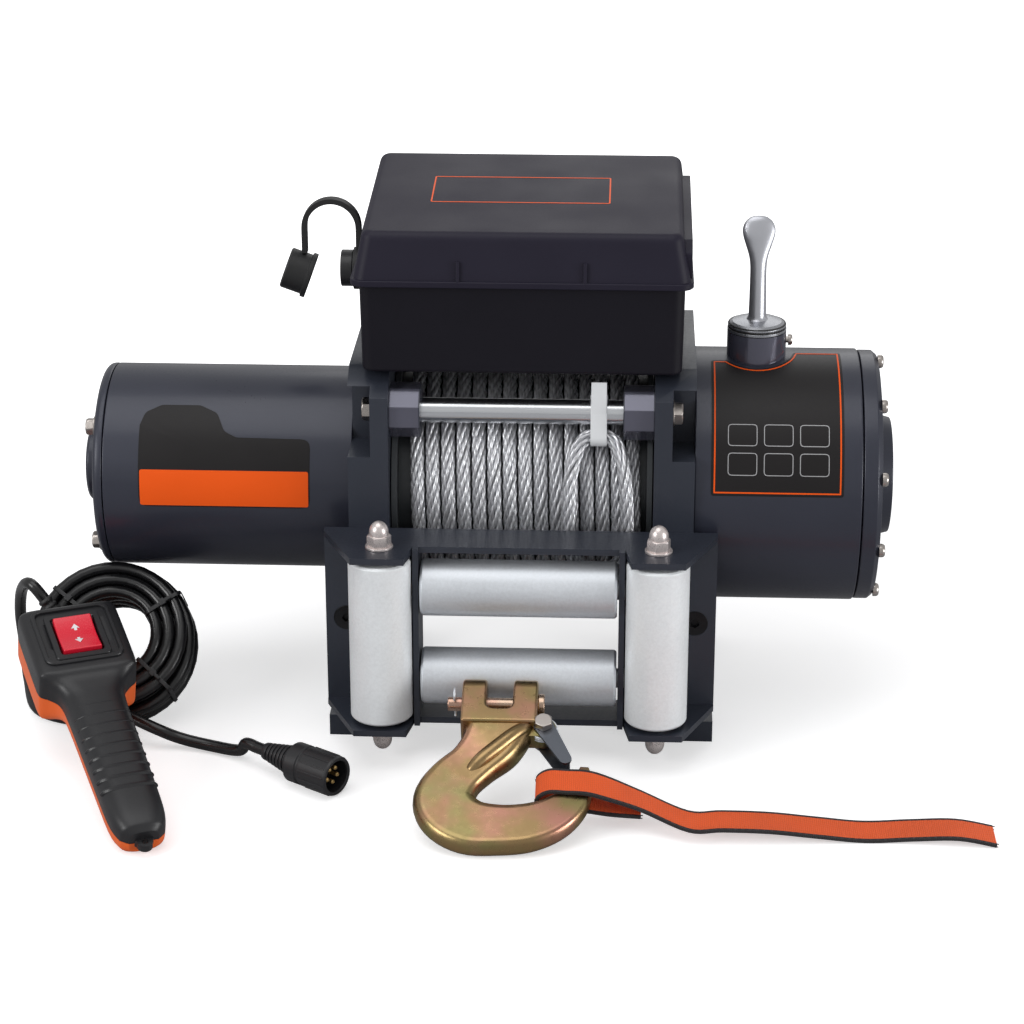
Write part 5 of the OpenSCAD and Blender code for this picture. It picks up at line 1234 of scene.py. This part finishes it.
class WINCH_OT_motor(Operator):
    """Make the motor's tube and end bell, its bolts and its blank label"""
    bl_idname = "winch.motor"
    bl_label = "Motor"

    def execute(self, context):
        r, place = MOTOR_R, on_axis(MOTOR_FOOT)
        wall = soften([(r, 0.25), (r, MOTOR_L), (r - 6, MOTOR_L), (r - 6, 0.25)], 0.7, 3, closed=True)
        make("motor_shell", turned(wall, 128, place, closed=True), "body_paint", "motor_tube")
        line = [(0, -16), (17, -16), (18, -18), (22.5, -18), (24, -16.5), (24, -9), (27, -6.5)]
        line += arc(r - 4.2, -6.5 + 4.2, 4.2, -90, 0, 6)
        line += [(r, -0.3), (r - 6.1, -0.3), (r - 6.1, 4), (0, 4)]
        make("motor_bell", turned(soften(line, 1.2, 3), 128, place), "body_paint", "motor_end_bell")
        head = build("head", hex_head(9.6, 5.0, 6.6, 1.1), bevel=0.2)
        spots = [(on_body(MOTOR_FOOT - 6.4, 54, 45 + 90 * k), (-1, 0, 0)) for k in range(4)]
        fasteners("through_bolt_heads", head, spots, "bolt_steel", "motor_through_bolts")
        self.label(r, context.scene.winch_sizes.label_round / MM)
        return {"FINISHED"}

    def label(self, r, corner):
        """A dark field with a notched top, and an orange band along its foot."""
        deg = math.pi / 180 * r
        full = [(-239, -4 * deg), (-132, -4 * deg), (-132, 35 * deg), (-178, 35.5 * deg), (-186, 39 * deg),
                (-191, 50 * deg), (-202, 55 * deg), (-226, 55 * deg), (-236, 50 * deg), (-239, 42 * deg)]
        low = [(-238.2, -3.2 * deg), (-132.8, -3.2 * deg), (-132.8, 17 * deg), (-238.2, 17 * deg)]
        for name, line, radius, lift, finish in (
                ("motor_label", full, corner, 0.25, "dark_label"),
                ("motor_label_band", low, corner * 0.25, 0.4, "orange_label")):
            face = dense(soften(line, radius, 4, closed=True))
            make(name, wrapped(face, r, lift), finish, slot_name="body_paint")


class WINCH_OT_gearbox(Operator):
    """Make the gearbox housing, its cover and screws, and its blank label"""
    bl_idname = "winch.gearbox"
    bl_label = "Gearbox"

    def execute(self, context):
        r = GEAR_R
        wall = soften([(23, 0), (r, 0), (r, 102.6), (71, 102.6), (71, 6), (23, 6)], 1.0, 3, closed=True)
        make("gearbox_body", turned(wall, 144, on_axis(GEAR_FOOT), closed=True), "body_paint",
             "gearbox_housing")
        line = [(0, -4), (70.9, -4), (70.9, 0.3), (79.2, 0.3), (79.2, 9), (76.6, 12), (39, 12), (36.5, 22),
                (29, 22), (27.5, 19), (0, 19)]
        make("gearbox_end", turned(soften(line, 1.1, 3), 144, on_axis(GEAR_FOOT + 103)), "body_paint",
             "gearbox_cover")
        head = build("head", button_head(8.5, 3.4), bevel=0.12)
        spots = [(on_body(221, 75.5, 36 * k + 18), (1, 0, 0)) for k in range(10)]
        fasteners("cover_screw_heads", head, spots, "bolt_steel", "cover_screws")
        self.label(r, context.scene.winch_sizes.label_round / MM)
        return {"FINISHED"}

    def label(self, r, corner):
        """A dark field cut out round the clutch, a line inside its edge, and six blank boxes."""
        deg, top = math.pi / 180 * r, r * math.pi / 2
        notch = arc(CLUTCH_X, top, 22.5, 350, 215, 15)
        full = [(116, 10 * deg), (197, 10 * deg), (197, top + 1), (168, top + 1)] + notch
        full += [(116, notch[-1][1])]
        face = dense(soften(full, corner * 0.3, 3, closed=True), 3.0)
        boxes = []
        for row in (19, 32):
            for k in range(3):
                x, s = 126 + 22 * k, row * deg
                box = soften([(x, s), (x + 18, s), (x + 18, s + 14), (x, s + 14)], 2.5, 3, closed=True)
                boxes.append(wrapped_border(dense(box, 3.0), r, 0.0, 0.5, 0.4))
        for name, shape, finish in (
                ("gearbox_label", wrapped(face, r, 0.25), "dark_label"),
                ("gearbox_label_line", wrapped_border(face, r, 1.6, 0.9, 0.42), "orange_label"),
                ("gearbox_label_boxes", join(*boxes), "label_grey")):
            make(name, shape, finish, slot_name="body_paint")


class WINCH_OT_clutch(Operator):
    """Make the clutch's boss, cap, lever and screw"""
    bl_idname = "winch.clutch"
    bl_label = "Clutch"

    def execute(self, context):
        x, top = CLUTCH_X, DRUM_AXIS + 95.5
        # the clutch seat takes the lighter boss paint, a painted reflection
        rounded_node("clutch_boss", "clutch_seat", "boss_gloss", "frame_paint", 0.9)
        at = shift(x, 0, top + 0.3)
        line = [(6.05, 0), (18.5, 0), (18.5, 1.6), (17.6, 1.9), (17.6, 2.7), (18.3, 3.0), (18.3, 4.0),
                (17.4, 4.3), (17.0, 4.9), (15.4, 5.8), (12.0, 6.6), (9.0, 7.0), (6.05, 7.0)]
        # painted shade: black rubber rings fill the cap's two grooves and stand in for their shade
        groove_rings = [turned(arc(r, z, 0.55, 0, 330, 11), 72, at, closed=True)
                 for r, z in ((17.75, 2.3), (17.5, 4.35))]
        make("clutch_ring", turned(soften(line, 0.3, 3, closed=True), 72, at, closed=True), "cap_grey",
             "clutch_cap", body="clutch_handle", slot_name="zinc_steel")
        make("clutch_seals", join(*groove_rings), "black_rubber", body="clutch_handle", slot_name="zinc_steel")
        self.lever(x, top + 7.3)
        head = build("head", join(button_head(7.0, 2.4), turned([(2, -8), (2, 0.2)], 20)), bevel=0.1)
        fasteners("clutch_screw_head", head, [((x + 20.0, 0, DRUM_AXIS + 89.25), (1, 0, 0))], "bolt_steel",
                  "clutch_screw", turn=0.3)
        return {"FINISHED"}

    def lever(self, x, foot):
        """The lever, given by its height, lean, width and depth as shares, with its spindle."""
        shares = [(0, 0, 1.22, 1.3), (0.03, 0.015, 1.0, 1.08), (0.10, 0.05, 0.95, 0.95),
                  (0.35, 0.26, 0.9, 0.86), (0.52, 0.45, 0.9, 0.8), (0.62, 0.56, 1.06, 0.74),
                  (0.72, 0.68, 1.42, 0.68), (0.81, 0.78, 1.72, 0.64), (0.88, 0.87, 1.76, 0.58),
                  (0.94, 0.935, 1.5, 0.48), (0.975, 0.972, 1.1, 0.36), (0.993, 0.992, 0.7, 0.22),
                  (1, 1, 0.2, 0.08)]
        d, lean_y, flare, tall, sunk = 11.5, 15, 9.0, DRUM_AXIS + 165 - foot, 0.3
        rings = []
        for h, lean, wide, deep in smooth(shares, 4):
            a = (d + flare * (wide - 1) / 0.78 if wide > 1 else d * wide) / 2
            b = d / 2 * deep
            z = foot - sunk + (tall + sunk) * h
            rings.append([Vector((x + a * math.cos(q), lean_y * lean + b * math.sin(q), z))
                          for q in angles(28)])
        low = [Vector((x, 0, foot - 14.5)) + p for p in circle(9.98, 28)]
        spindle = loft([low, lifted(low, 7.0)])
        make("clutch_handle_lever", join(loft(rings), spindle), "lever_grey", "clutch_lever",
             body="clutch_handle", slot_name="zinc_steel", sharp=60)


BOX_FOOT, BOX_H = 240.0, 61.0
LID_FOOT, LID_FRONT, LID_BACK = 295.5, 32, 44
LID_HALF_TOP = 75.5


class WINCH_OT_control_box(Operator):
    """Make the control box and its lid"""
    bl_idname = "winch.control_box"
    bl_label = "Control box"

    def execute(self, context):
        self.base()
        self.lid()
        self.plate_line()
        paint("contactor", "black_plastic")
        paint("box_screws", "bolt_steel")
        return {"FINISHED"}

    def base(self):
        def ring(inset, z, r=7.0):
            s = z / BOX_H
            w, d = lerp(194, 196, s) - 2 * inset, lerp(150, 153.5, s) - 2 * inset
            return [Vector((x, y, BOX_FOOT + z)) for x, y in round_rect(w, d, max(1, r - inset))]
        h = BOX_H
        steps = ((30, 0), (2.5, 0), (1.0, 0.5), (0.25, 1.3), (0, 2.6), (0, h - 0.6), (0.4, h), (2.2, h),
                 (2.6, h - 0.5), (2.6, 3.2), (3.2, 2.6), (30, 2.6))
        make("control_box_shell", loft([ring(*step) for step in steps]), "box_plastic", "control_box_base")

    def lid(self):
        edge = 5.0

        def ring(inset, share, lift=0.0, lip=0.0, r=7.0):
            """share is the height up the slanted wall, 0 at the skirt and 1 at the top edge."""
            w, d = lerp(203, 193, share) - 2 * inset + 2 * lip, lerp(161, 151, share) - 2 * inset + 2 * lip
            out = []
            for x, y in round_rect(w, d, max(1.0, r - inset + lip), 6):
                top = lerp(LID_FRONT, LID_BACK, (y + LID_HALF_TOP) / (2 * LID_HALF_TOP))
                out.append(Vector((x, y, LID_FOOT + top * share + lift)))
            return out
        steps = [(72, 1, -1.8), (5, 1, -1.8), (1.8, 0.85), (1.8, 0.02), (1.2, 0, 0.0, 1.3),
                 (0.6, 0, 0.0, 1.3), (0.0, 0, 0.5, 1.3), (0, 0, 3.5, 1.3), (0, 0, 4.0, 0.9),
                 (0, 0.13, 0, 0.1), (0, 0.16)]
        for k in range(6):
            a = math.radians(18 * k)
            steps.append((edge * (1 - math.cos(a)), 1, -edge + edge * math.sin(a)))
        steps += [(12, 1), (40, 1), (72, 1)]
        make("control_box_cover", loft([ring(*step) for step in steps]), "lid_plastic", "control_box_lid",
             sharp=30)
        lean = Matrix.Rotation(-math.atan2(5, 32), 4, "X")
        shapes = [plate([(-1.1, 0), (1.1, 0), (1.1, 12.5), (-1.1, 12.5)], -1.0, 0.9,
                        shift(x, -80.9, LID_FOOT + 3.5) @ lean @ rotate("X", 90)) for x in (-38, 38)]
        side = [(-72, 300), (56, 300), (56, 330), (50, 332), (-64, 322.5), (-72, 316)]
        shapes.append(plate(soften(side, 2.5, 3, closed=True), 92, 101.7, AXES_YZX))
        make("lid_ribs", join(*shapes), "lid_plastic", bevel=0.5)

    def plate_line(self):
        """A bare place on the lid's top, marked by a thin line."""
        slope = (LID_BACK - LID_FRONT) / (2 * LID_HALF_TOP)
        outline = dense(soften([(-58, -20), (52, -20), (52, 27), (-58, 27)], 1.5, 3, closed=True), 12)
        section = ((0, -0.2), (0, 0.14), (0.9, 0.14), (0.9, -0.2))
        rings = [[Vector((x, y, LID_FOOT + LID_FRONT + (y + LID_HALF_TOP) * slope + h))
                  for x, y in offset(outline, d)] for d, h in section]
        make("lid_line", collar(rings), "orange_label", slot_name="lid_plastic")


class WINCH_OT_socket(Operator):
    """Make the handset's socket on the box and its hanging rubber cap"""
    bl_idname = "winch.socket"
    bl_label = "Socket and cap"

    def execute(self, context):
        y0, z0 = 8.0, 281.0
        place = place_at((-98.4, y0, z0), (-1, 0, 0), (0, 1, 0))
        line = [(14, 0), (14, 3), (11.5, 3.2), (11.5, 9), (10.9, 9.4), (10.9, 10.4), (11.5, 10.8), (11.5, 18),
                (9.1, 18), (9.1, 4), (0, 4), (0, 0)]
        make("socket_body", turned(soften(line, 0.5, 2), 64, place), "black_plastic", "remote_socket")
        contacts("socket_pins", 3.8, 12.5, 13.6, 1.4, 0.4, 4.6, (0.3, 1.6, 2.8, 4.1, 5.3), place)
        self.cap(-105.2, y0, z0)
        return {"FINISHED"}

    def cap(self, x0, y0, z0):
        """A band round the socket, its strap in a loop, and the cup that hangs from it."""
        bend = 17
        band = turned(soften([(11.6, -3.4), (13.3, -3.4), (13.3, 3.4), (11.6, 3.4)], 0.5, 2, closed=True), 48,
                      place_at((x0, y0, z0), (-1, 0, 0), (0, 1, 0)), closed=True)
        route = [(x0, z0 + 12.2), (x0, z0 + 20), (x0, z0 + 26.5)]
        route += arc(x0 - bend, z0 + 26.5, bend, 15, 180, 11) + [(x0 - 34, z0 + 20), (x0 - 34, z0 + 10)]
        path = smooth([(x, y0, z) for x, z in route], 2)
        thick = [heading(path, k).cross(Vector((0, 1, 0))).normalized() * 1.7 for k in range(len(path))]
        strap = loft(ribbon(path, [Vector((0, 3.8, 0))] * len(path), thick))
        hang = (shift(x0 - 34, y0, z0 + 9.5) @ rotate("Y", 20) @ shift(0, 0, -13) @ rotate("Y", -90)
                @ shift(0, 0, -8.5))
        line = [(14.5, 0), (14.5, 3), (13, 3.3), (13, 16), (12.2, 17), (0, 17), (0, 15.2), (11.2, 15.2),
                (11.2, 0)]
        cup = turned(soften(line, 0.5, 2, closed=True), 56, hang, closed=True)
        make("socket_cap_rubber", join(band, strap, cup), "black_rubber", "socket_cap", bevel=0.3, corner=60)


class WINCH_OT_fairlead(Operator):
    """Finish the fairlead's frame, its four rollers, pins, nuts and bolts"""
    bl_idname = "winch.fairlead"
    bl_label = "Roller fairlead"

    def execute(self, context):
        rounded_node("fairlead_frame", "fairlead_plate", "frame_paint", "frame_paint",
                     context.scene.winch_sizes.plate_round / MM)
        paint("roller_pins", "zinc_steel")
        x, y, middle, tall, wide = 84.5, -115, 83, 104.8, 120.0
        # the upright rollers take the lighter copy of the zinc, as painted light
        for side, sx in (("left", -1), ("right", 1)):
            self.roller("roller_" + side, 19.25, tall, shift(sx * x, y, middle - tall / 2), "upright_zinc")
        for side, z in (("upper", 112.5), ("lower", 53.5)):
            place = place_at((-wide / 2, -105.5, z), (1, 0, 0), (0, 1, 0))
            self.roller("roller_" + side, 17.5, wide, place, "zinc_steel")
        nut = build("nut", self.nut(), bevel=0.15)
        spots = [((sx * x, y, z), (0, 0, sz)) for sx in (-1, 1) for z, sz in ((142, 1), (24, -1))]
        fasteners("dome_nuts", nut, spots, "nut_steel", "acorn_nuts")
        rings = [lifted(circle(r), z) for r, z in ((4.0, -20), (4.0, -4), (8.1, 0.0), (7.9, 0.1))]
        rings += [lifted(hexagon(across), z) for across, z in ((5.4, 0.1), (5.2, -0.1), (5.2, -2.4))]
        head = build("head", loft(rings))
        spots = [((sx * 108, -86.95, middle), (0, -1, 0)) for sx in (-1, 1)]
        fasteners("sunk_bolts", head, spots, "black_steel", "fairlead_bolts")
        return {"FINISHED"}

    def roller(self, node, r, l, place, finish):
        line = [(6.05, 0), (r - 1.2, 0), (r, 1.4), (r, l - 1.4), (r - 1.2, l), (6.05, l)]
        make(node + "_tube", turned(soften(line, 0.9, 3, closed=True), 96, place, closed=True), finish, node,
             body=node + "_body", slot_name="zinc_steel")

    def nut(self):
        """A dome nut on its washer."""
        r, high, foot = 5.98, 7.1, 9.9
        dome = [(0, 7.9), (5.9, 7.9), (r, foot)]
        for degrees in range(12, 85, 12):
            a = math.radians(degrees)
            dome.append((r * math.cos(a), foot + high * math.sin(a)))
        flats = [lifted(hexagon(13, cap), z) for cap, z in ((6.9, 1.5), (8, 2.1), (8, 7.4), (7.0, 8.1))]
        flats.append(lifted(circle(6.2), 8.4))
        washer = turned(soften([(0, 0), (8.4, 0), (8.4, 1.6), (0, 1.6)], 0.35, 2), 32)
        return join(loft(flats), turned(dome + [(0, 17.1)], 24), washer)


class WINCH_OT_hook(Operator):
    """Make the clevis hook with its pin, cotter, latch, spring and bolt"""
    bl_idname = "winch.hook"
    bl_label = "Hook"

    def execute(self, context):
        self.belly()
        self.clevis()
        self.ridge()
        self.pin()
        self.latch()
        return {"FINISHED"}

    def belly(self):
        """The throat, given by its middle line, width and depth as shares of the hook's length."""
        shares = [(0.012, -0.15, 0.190, 0.090), (-0.035, -0.30, 0.170, 0.085),
                  (-0.123, -0.425, 0.140, 0.070), (-0.215, -0.535, 0.147, 0.066),
                  (-0.262, -0.655, 0.163, 0.066), (-0.225, -0.765, 0.168, 0.066),
                  (-0.120, -0.838, 0.162, 0.066), (0.020, -0.853, 0.147, 0.066),
                  (0.160, -0.838, 0.142, 0.064), (0.283, -0.785, 0.128, 0.060),
                  (0.375, -0.700, 0.106, 0.054), (0.428, -0.600, 0.078, 0.046),
                  (0.452, -0.505, 0.050, 0.038), (0.458, -0.440, 0.026, 0.026)]
        upper, lower, flat_top, flat_foot = 1.7, 1.3, 1, -0.985
        line = smooth(shares, 5)
        rings = []
        for k, (x, y, wide, deep) in enumerate(line):
            a, b = line[max(k - 1, 0)], line[min(k + 1, len(line) - 1)]
            t = Vector((b[0] - a[0], b[1] - a[1])).normalized()
            ring = []
            for q in angles(36):
                full = upper if q < math.pi else lower
                u = HOOK_L * wide * math.cos(q)
                w = HOOK_L * deep * max(flat_foot, min(flat_top, full * math.sin(q)))
                ring.append(HOOK_PLACE @ Vector((HOOK_L * x - t.y * u, HOOK_L * y + t.x * u, w)))
            rings.append(ring)
        tip = HOOK_PLACE @ Vector((HOOK_L * line[-1][0], HOOK_L * line[-1][1] + 2.2, 0))
        rings.append([tip + (p - tip) * 0.45 for p in rings[-1]])
        make("hook_belly", loft(rings), "hook_plating", "hook_body", sharp=60)

    def clevis(self):
        outline = [(-22.8, -12), (4.2, -12)] + arc(4.2, 0, 12, -75, 75, 10) + [(4.2, 12), (-22.8, 12)]
        ears = build("hook_clevis", plate(outline, -23, 23, HOOK_PLACE @ AXES_YZX), "hook_plating")
        gap = soften([(-8, 30), (-8, -12), (8, -12), (8, 30)], 5, 5)
        cut(ears, build("gap", plate(gap, -20, 20, HOOK_PLACE)))
        m = ears.modifiers.new("edges", "BEVEL")
        m.width, m.segments, m.limit_method, m.angle_limit = 1.7 * MM, 3, "ANGLE", math.radians(40)
        settle(ears)
        finish_shading(ears, 40)
        hand_over(ears, "frame", "hook_plating")
        eye = turned(soften([(0, -6), (7.5, -6), (7.5, 6), (0, 6)], 0.8, 3), 40, LUG_PLACE)
        foot = block((25, 14, 11.6), (14, -22, 0), HOOK_PLACE)
        make("hook_lug", join(eye, foot), "hook_plating", bevel=0.6)

    def ridge(self):
        """The raised ridge down the hook's shank."""
        stops = [(17, -23, 7.0), (10.5, -30, 8.6), (0.5, -40.5, 8.4), (-9, -50, 7.6), (-15.5, -57, 4.8)]
        path = smooth(stops, 6)
        n = len(path)
        radii = [5.0 * math.sin(math.pi * (0.12 + 0.76 * k / (n - 1))) ** 0.4 for k in range(n)]
        make("hook_ridge", tube([HOOK_PLACE @ p for p in path], radii, 20), "hook_plating", sharp=60)

    def pin(self):
        """The clevis pin, and the split pin through its end."""
        line = [(0, -32), (4.3, -32), (4.3, 23), (7, 23), (7, 27), (0, 27)]
        make("clevis_bolt", turned(soften(line, 0.7, 3), 40, HOOK_PLACE @ rotate("Y", 90)), "pin_plating",
             "clevis_pin")
        loop = [(0.6, -8), (0.6, 5), (3.2, 7.4), (3.0, 10.5), (0, 12.2), (-3.0, 10.5), (-3.2, 7.4), (-0.6, 5),
                (-0.6, -6.5), (-1.8, -9)]
        path = [HOOK_PLACE @ p for p in smooth([(-27.5, y, z) for y, z in loop], 5)]
        make("split_pin", tube(path, 0.75, 10, up=(1, 0, 0)), "zinc_steel", "cotter_pin",
             slot_name="pin_plating")

    def latch(self):
        rounded_node("hook_latch", "latch_plate", "latch_steel", "zinc_steel", 0.45, "latch_body")
        shape = join(turned(soften([(0, -12.2), (3, -12.2), (3, 12.2), (0, 12.2)], 0.5, 2), 24, LUG_PLACE),
                     hex_head(10.0, 4.5, place=LUG_PLACE @ shift(0, 0, 8.25)),
                     hex_head(10.0, 3.5, place=LUG_PLACE @ shift(0, 0, -8.25) @ rotate("X", 180)))
        make("latch_bolt_and_nut", shape, "bolt_steel", "latch_bolt", bevel=0.15)
        steps = 20
        path = [LUG_PLACE @ polar(8.2, 2 * math.pi * k / steps, 0.6 + 1.5 * k / steps) for k in range(61)]
        make("latch_spring", tube(path, 0.6, 8, up=(0.3, 0.2, 1)), "zinc_steel")


ROCKER_Y, ROCKER_Z = 164.64, 14.5
POCKET_W, POCKET_D = 26.4, 33.4


class WINCH_OT_handset(Operator):
    """Make the hand remote: two shells, grip ribs, rim, rocker and its marks"""
    bl_idname = "winch.handset"
    bl_label = "Handset"

    # The way along the handset, then width, height above and depth below, as shares
    SECTIONS = [(0, 0.28, 0.40, 0.36), (0.012, 0.38, 0.52, 0.47), (0.03, 0.46, 0.62, 0.56),
                (0.10, 0.545, 0.72, 0.68), (0.30, 0.57, 0.76, 0.72), (0.55, 0.60, 0.78, 0.72),
                (0.63, 0.65, 0.81, 0.77), (0.665, 0.80, 0.86, 0.86), (0.685, 0.95, 0.965, 0.97),
                (0.705, 0.99, 0.99, 0.995), (0.76, 1, 1, 1), (0.95, 1, 1, 1), (0.985, 0.975, 0.97, 0.97),
                (1, 0.90, 0.88, 0.88)]

    def execute(self, context):
        top = build("handset_top", self.half(1, 0.35), "black_plastic")
        pocket = plate(round_rect(POCKET_W, POCKET_D, 2.2), 8.5, 40, HAND_PLACE @ shift(0, ROCKER_Y, 0))
        self.cut_out(top, pocket, "remote_top_shell")
        make("handset_bottom", self.half(-1, 0.0), "orange_plastic", "remote_bottom_shell")
        self.rim()
        self.grip(context.scene.winch_sizes.grip_pitch / MM)
        self.rocker()
        return {"FINISHED"}

    def cut_out(self, piece, shape, *nodes):
        cut(piece, build("tool", shape))
        finish_shading(piece, 34)
        hand_over(piece, "frame", "black_plastic", *nodes)

    def half(self, way, split):
        """One shell: the handset's form on one side of the parting line."""
        rings, n = [], 26
        for y, wide, high, deep in smooth(self.SECTIONS, 4):
            b = HAND_H / 2 * (high if way > 0 else deep)
            square = lerp(0.62, 0.2, max(0.0, min(1.0, (y - 0.6) / 0.09)))
            ring = []
            for k in range(n + 1):
                q = math.pi * k / n
                c, h = math.cos(q), math.sin(q)
                x = HAND_W / 2 * wide * math.copysign(abs(c) ** square, c)
                z = b * abs(h) ** square * way
                z = max(z, split) if way > 0 else min(z, split)
                ring.append(HAND_PLACE @ Vector((x, HAND_L * y, z)))
            rings.append(ring)
        return loft(rings)

    def rim(self):
        """The raised field round the rocker, and the frame of its pocket."""
        outer = ((49, 51, 6, 9.0), (49, 51, 6, 20.4), (48, 50, 5.5, 21.0), (44.6, 46.6, 5, 21.0),
                 (43.8, 45.8, 4.6, 20.4), (43.8, 45.8, 4.6, 9.0))
        inner = ((34.4, 41.4, 3, 12.0), (34.4, 41.4, 3, 20.0), (33.6, 40.6, 2.6, 20.5),
                 (27.4, 34.4, 2.2, 20.5), (POCKET_W, POCKET_D, 2.0, 19.8), (POCKET_W, POCKET_D, 2.0, 12.0))
        shapes = [collar([[HAND_PLACE @ Vector((x, y + at, z)) for x, y in round_rect(w, d, r, 5)]
                          for w, d, r, z in rows]) for at, rows in ((165.5, outer), (ROCKER_Y, inner))]
        make("handset_rim", join(*shapes), "black_plastic")

    def grip(self, pitch):
        """Curved ribs across the grip, and the small loop at its end."""
        wide, high, steps = HAND_W / 2 * 0.575, HAND_H / 2 * 0.765, 16
        path, radii = [], []
        for k in range(steps + 1):
            q = math.pi * lerp(0.16, 0.84, k / steps)
            c, h = math.cos(q), math.sin(q)
            path.append((3.0 * (abs(c) ** 2), wide * math.copysign(abs(c) ** 0.6, c),
                         high * (abs(h) ** 0.6 - 1) - 1.5))
            radii.append(2.3 * math.sin(math.pi * (0.1 + 0.8 * k / steps)) ** 0.5)
        rib = build("rib", tube(path, radii, 8, up=(1, 0, 0)))
        line = [HAND_PLACE @ Vector((0, HAND_L * s, 14.6)) for s in (0.17, 0.59)]
        up = HAND_PLACE.to_3x3() @ Vector((0, 0, 1))
        ribs = along_line("grip_ribs", rib, line, [up, up], pitch * 1.5, "black_plastic")
        hand_over(ribs, "frame", "black_plastic")
        tab = [(-8.5, 4), (-4.7, -1.4)] + arc(0, -1.6, 4.7, 180, 360, 12) + [(4.7, -1.4), (8.5, 4)]
        loop = build("handset_loop", plate(tab, -2.2, 2.6, HAND_PLACE), "black_plastic")
        self.cut_out(loop, plate([p.xy for p in circle(2.1)], -9, 9, HAND_PLACE @ shift(0, -2.2, 0)))

    def rocker(self):
        place = HAND_PLACE @ shift(0, ROCKER_Y, ROCKER_Z) @ AXES_YZX
        outline = [(-15.5, 0), (-15.5, 8.2), (-8, 6.6), (0, 5.9), (8, 6.6), (15.5, 8.2), (15.5, 0), (6.2, -4),
                   (-6.2, -4)]
        make("rocker_key", plate(outline, -12, 12, place), "red_plastic", "remote_rocker", body="rocker_body",
             bevel=0.9, steps=3, corner=30)
        shapes = []
        for way in (-1, 1):
            spot = HAND_PLACE @ shift(0, ROCKER_Y + way * 6.4, ROCKER_Z + 6.62) @ rotate("X", way * 9)
            arrow = [(-2.6, -1.4), (0, 2.2), (2.6, -1.4), (0.9, -0.9), (0.9, -3), (-0.9, -3), (-0.9, -0.9)]
            shapes.append(plate([(x, y * way) for x, y in arrow[::way]], -0.3, 0.22, spot))
        make("rocker_marks", join(*shapes), "white_mark", body="rocker_body", slot_name="tie_white")


class WINCH_OT_inner_parts(Operator):
    """Give the parts inside the motor, drum and gearbox their finishes"""
    bl_idname = "winch.inner_parts"
    bl_label = "Inner parts"

    INNER = {
        "magnet": ["motor_magnets"], "zinc_steel": ["motor_bearings"], "core_copper": ["armature"],
        "bronze": ["drum_bushes"],
        "gear_steel": ["drive_shaft", "ring_gear", "sun_gear", "planet_gear_1", "planet_gear_2",
                       "planet_gear_3", "planet_carrier"]}

    def execute(self, context):
        for finish, nodes in self.INNER.items():
            for node in nodes:
                paint(node, finish)
        return {"FINISHED"}


STEPS = (WINCH_OT_stage, WINCH_OT_cord, WINCH_OT_rope, WINCH_OT_hook, WINCH_OT_strap, WINCH_OT_supports,
         WINCH_OT_motor, WINCH_OT_gearbox, WINCH_OT_clutch, WINCH_OT_control_box, WINCH_OT_socket,
         WINCH_OT_fairlead, WINCH_OT_handset, WINCH_OT_inner_parts)


class WINCH_PT_panel(Panel):
    """Sizes, colours and steps of the winch"""
    bl_idname = "WINCH_PT_panel"
    bl_label = "Recovery winch"
    bl_space_type = "VIEW_3D"
    bl_region_type = "UI"
    bl_category = "Winch"

    def draw(self, context):
        for words, group in (("Sizes", context.scene.winch_sizes), ("Colours", context.scene.winch_colours)):
            box = self.layout.box()
            box.label(text=words)
            for name in group.__annotations__:
                box.prop(group, name)
        column = self.layout.column(align=True)
        for step in STEPS:
            column.operator(step.bl_idname)


CLASSES = (WinchColours, WinchSizes, *STEPS, WINCH_PT_panel)


def register():
    for cls in CLASSES:
        bpy.utils.register_class(cls)
    bpy.types.Scene.winch_colours = PointerProperty(type=WinchColours)
    bpy.types.Scene.winch_sizes = PointerProperty(type=WinchSizes)


def unregister():
    del bpy.types.Scene.winch_sizes
    del bpy.types.Scene.winch_colours
    for cls in reversed(CLASSES):
        bpy.utils.unregister_class(cls)


def main():
    register()
    for step in STEPS:
        group, name = step.bl_idname.split(".")
        getattr(getattr(bpy.ops, group), name)()


if __name__ == "__main__":
    main()
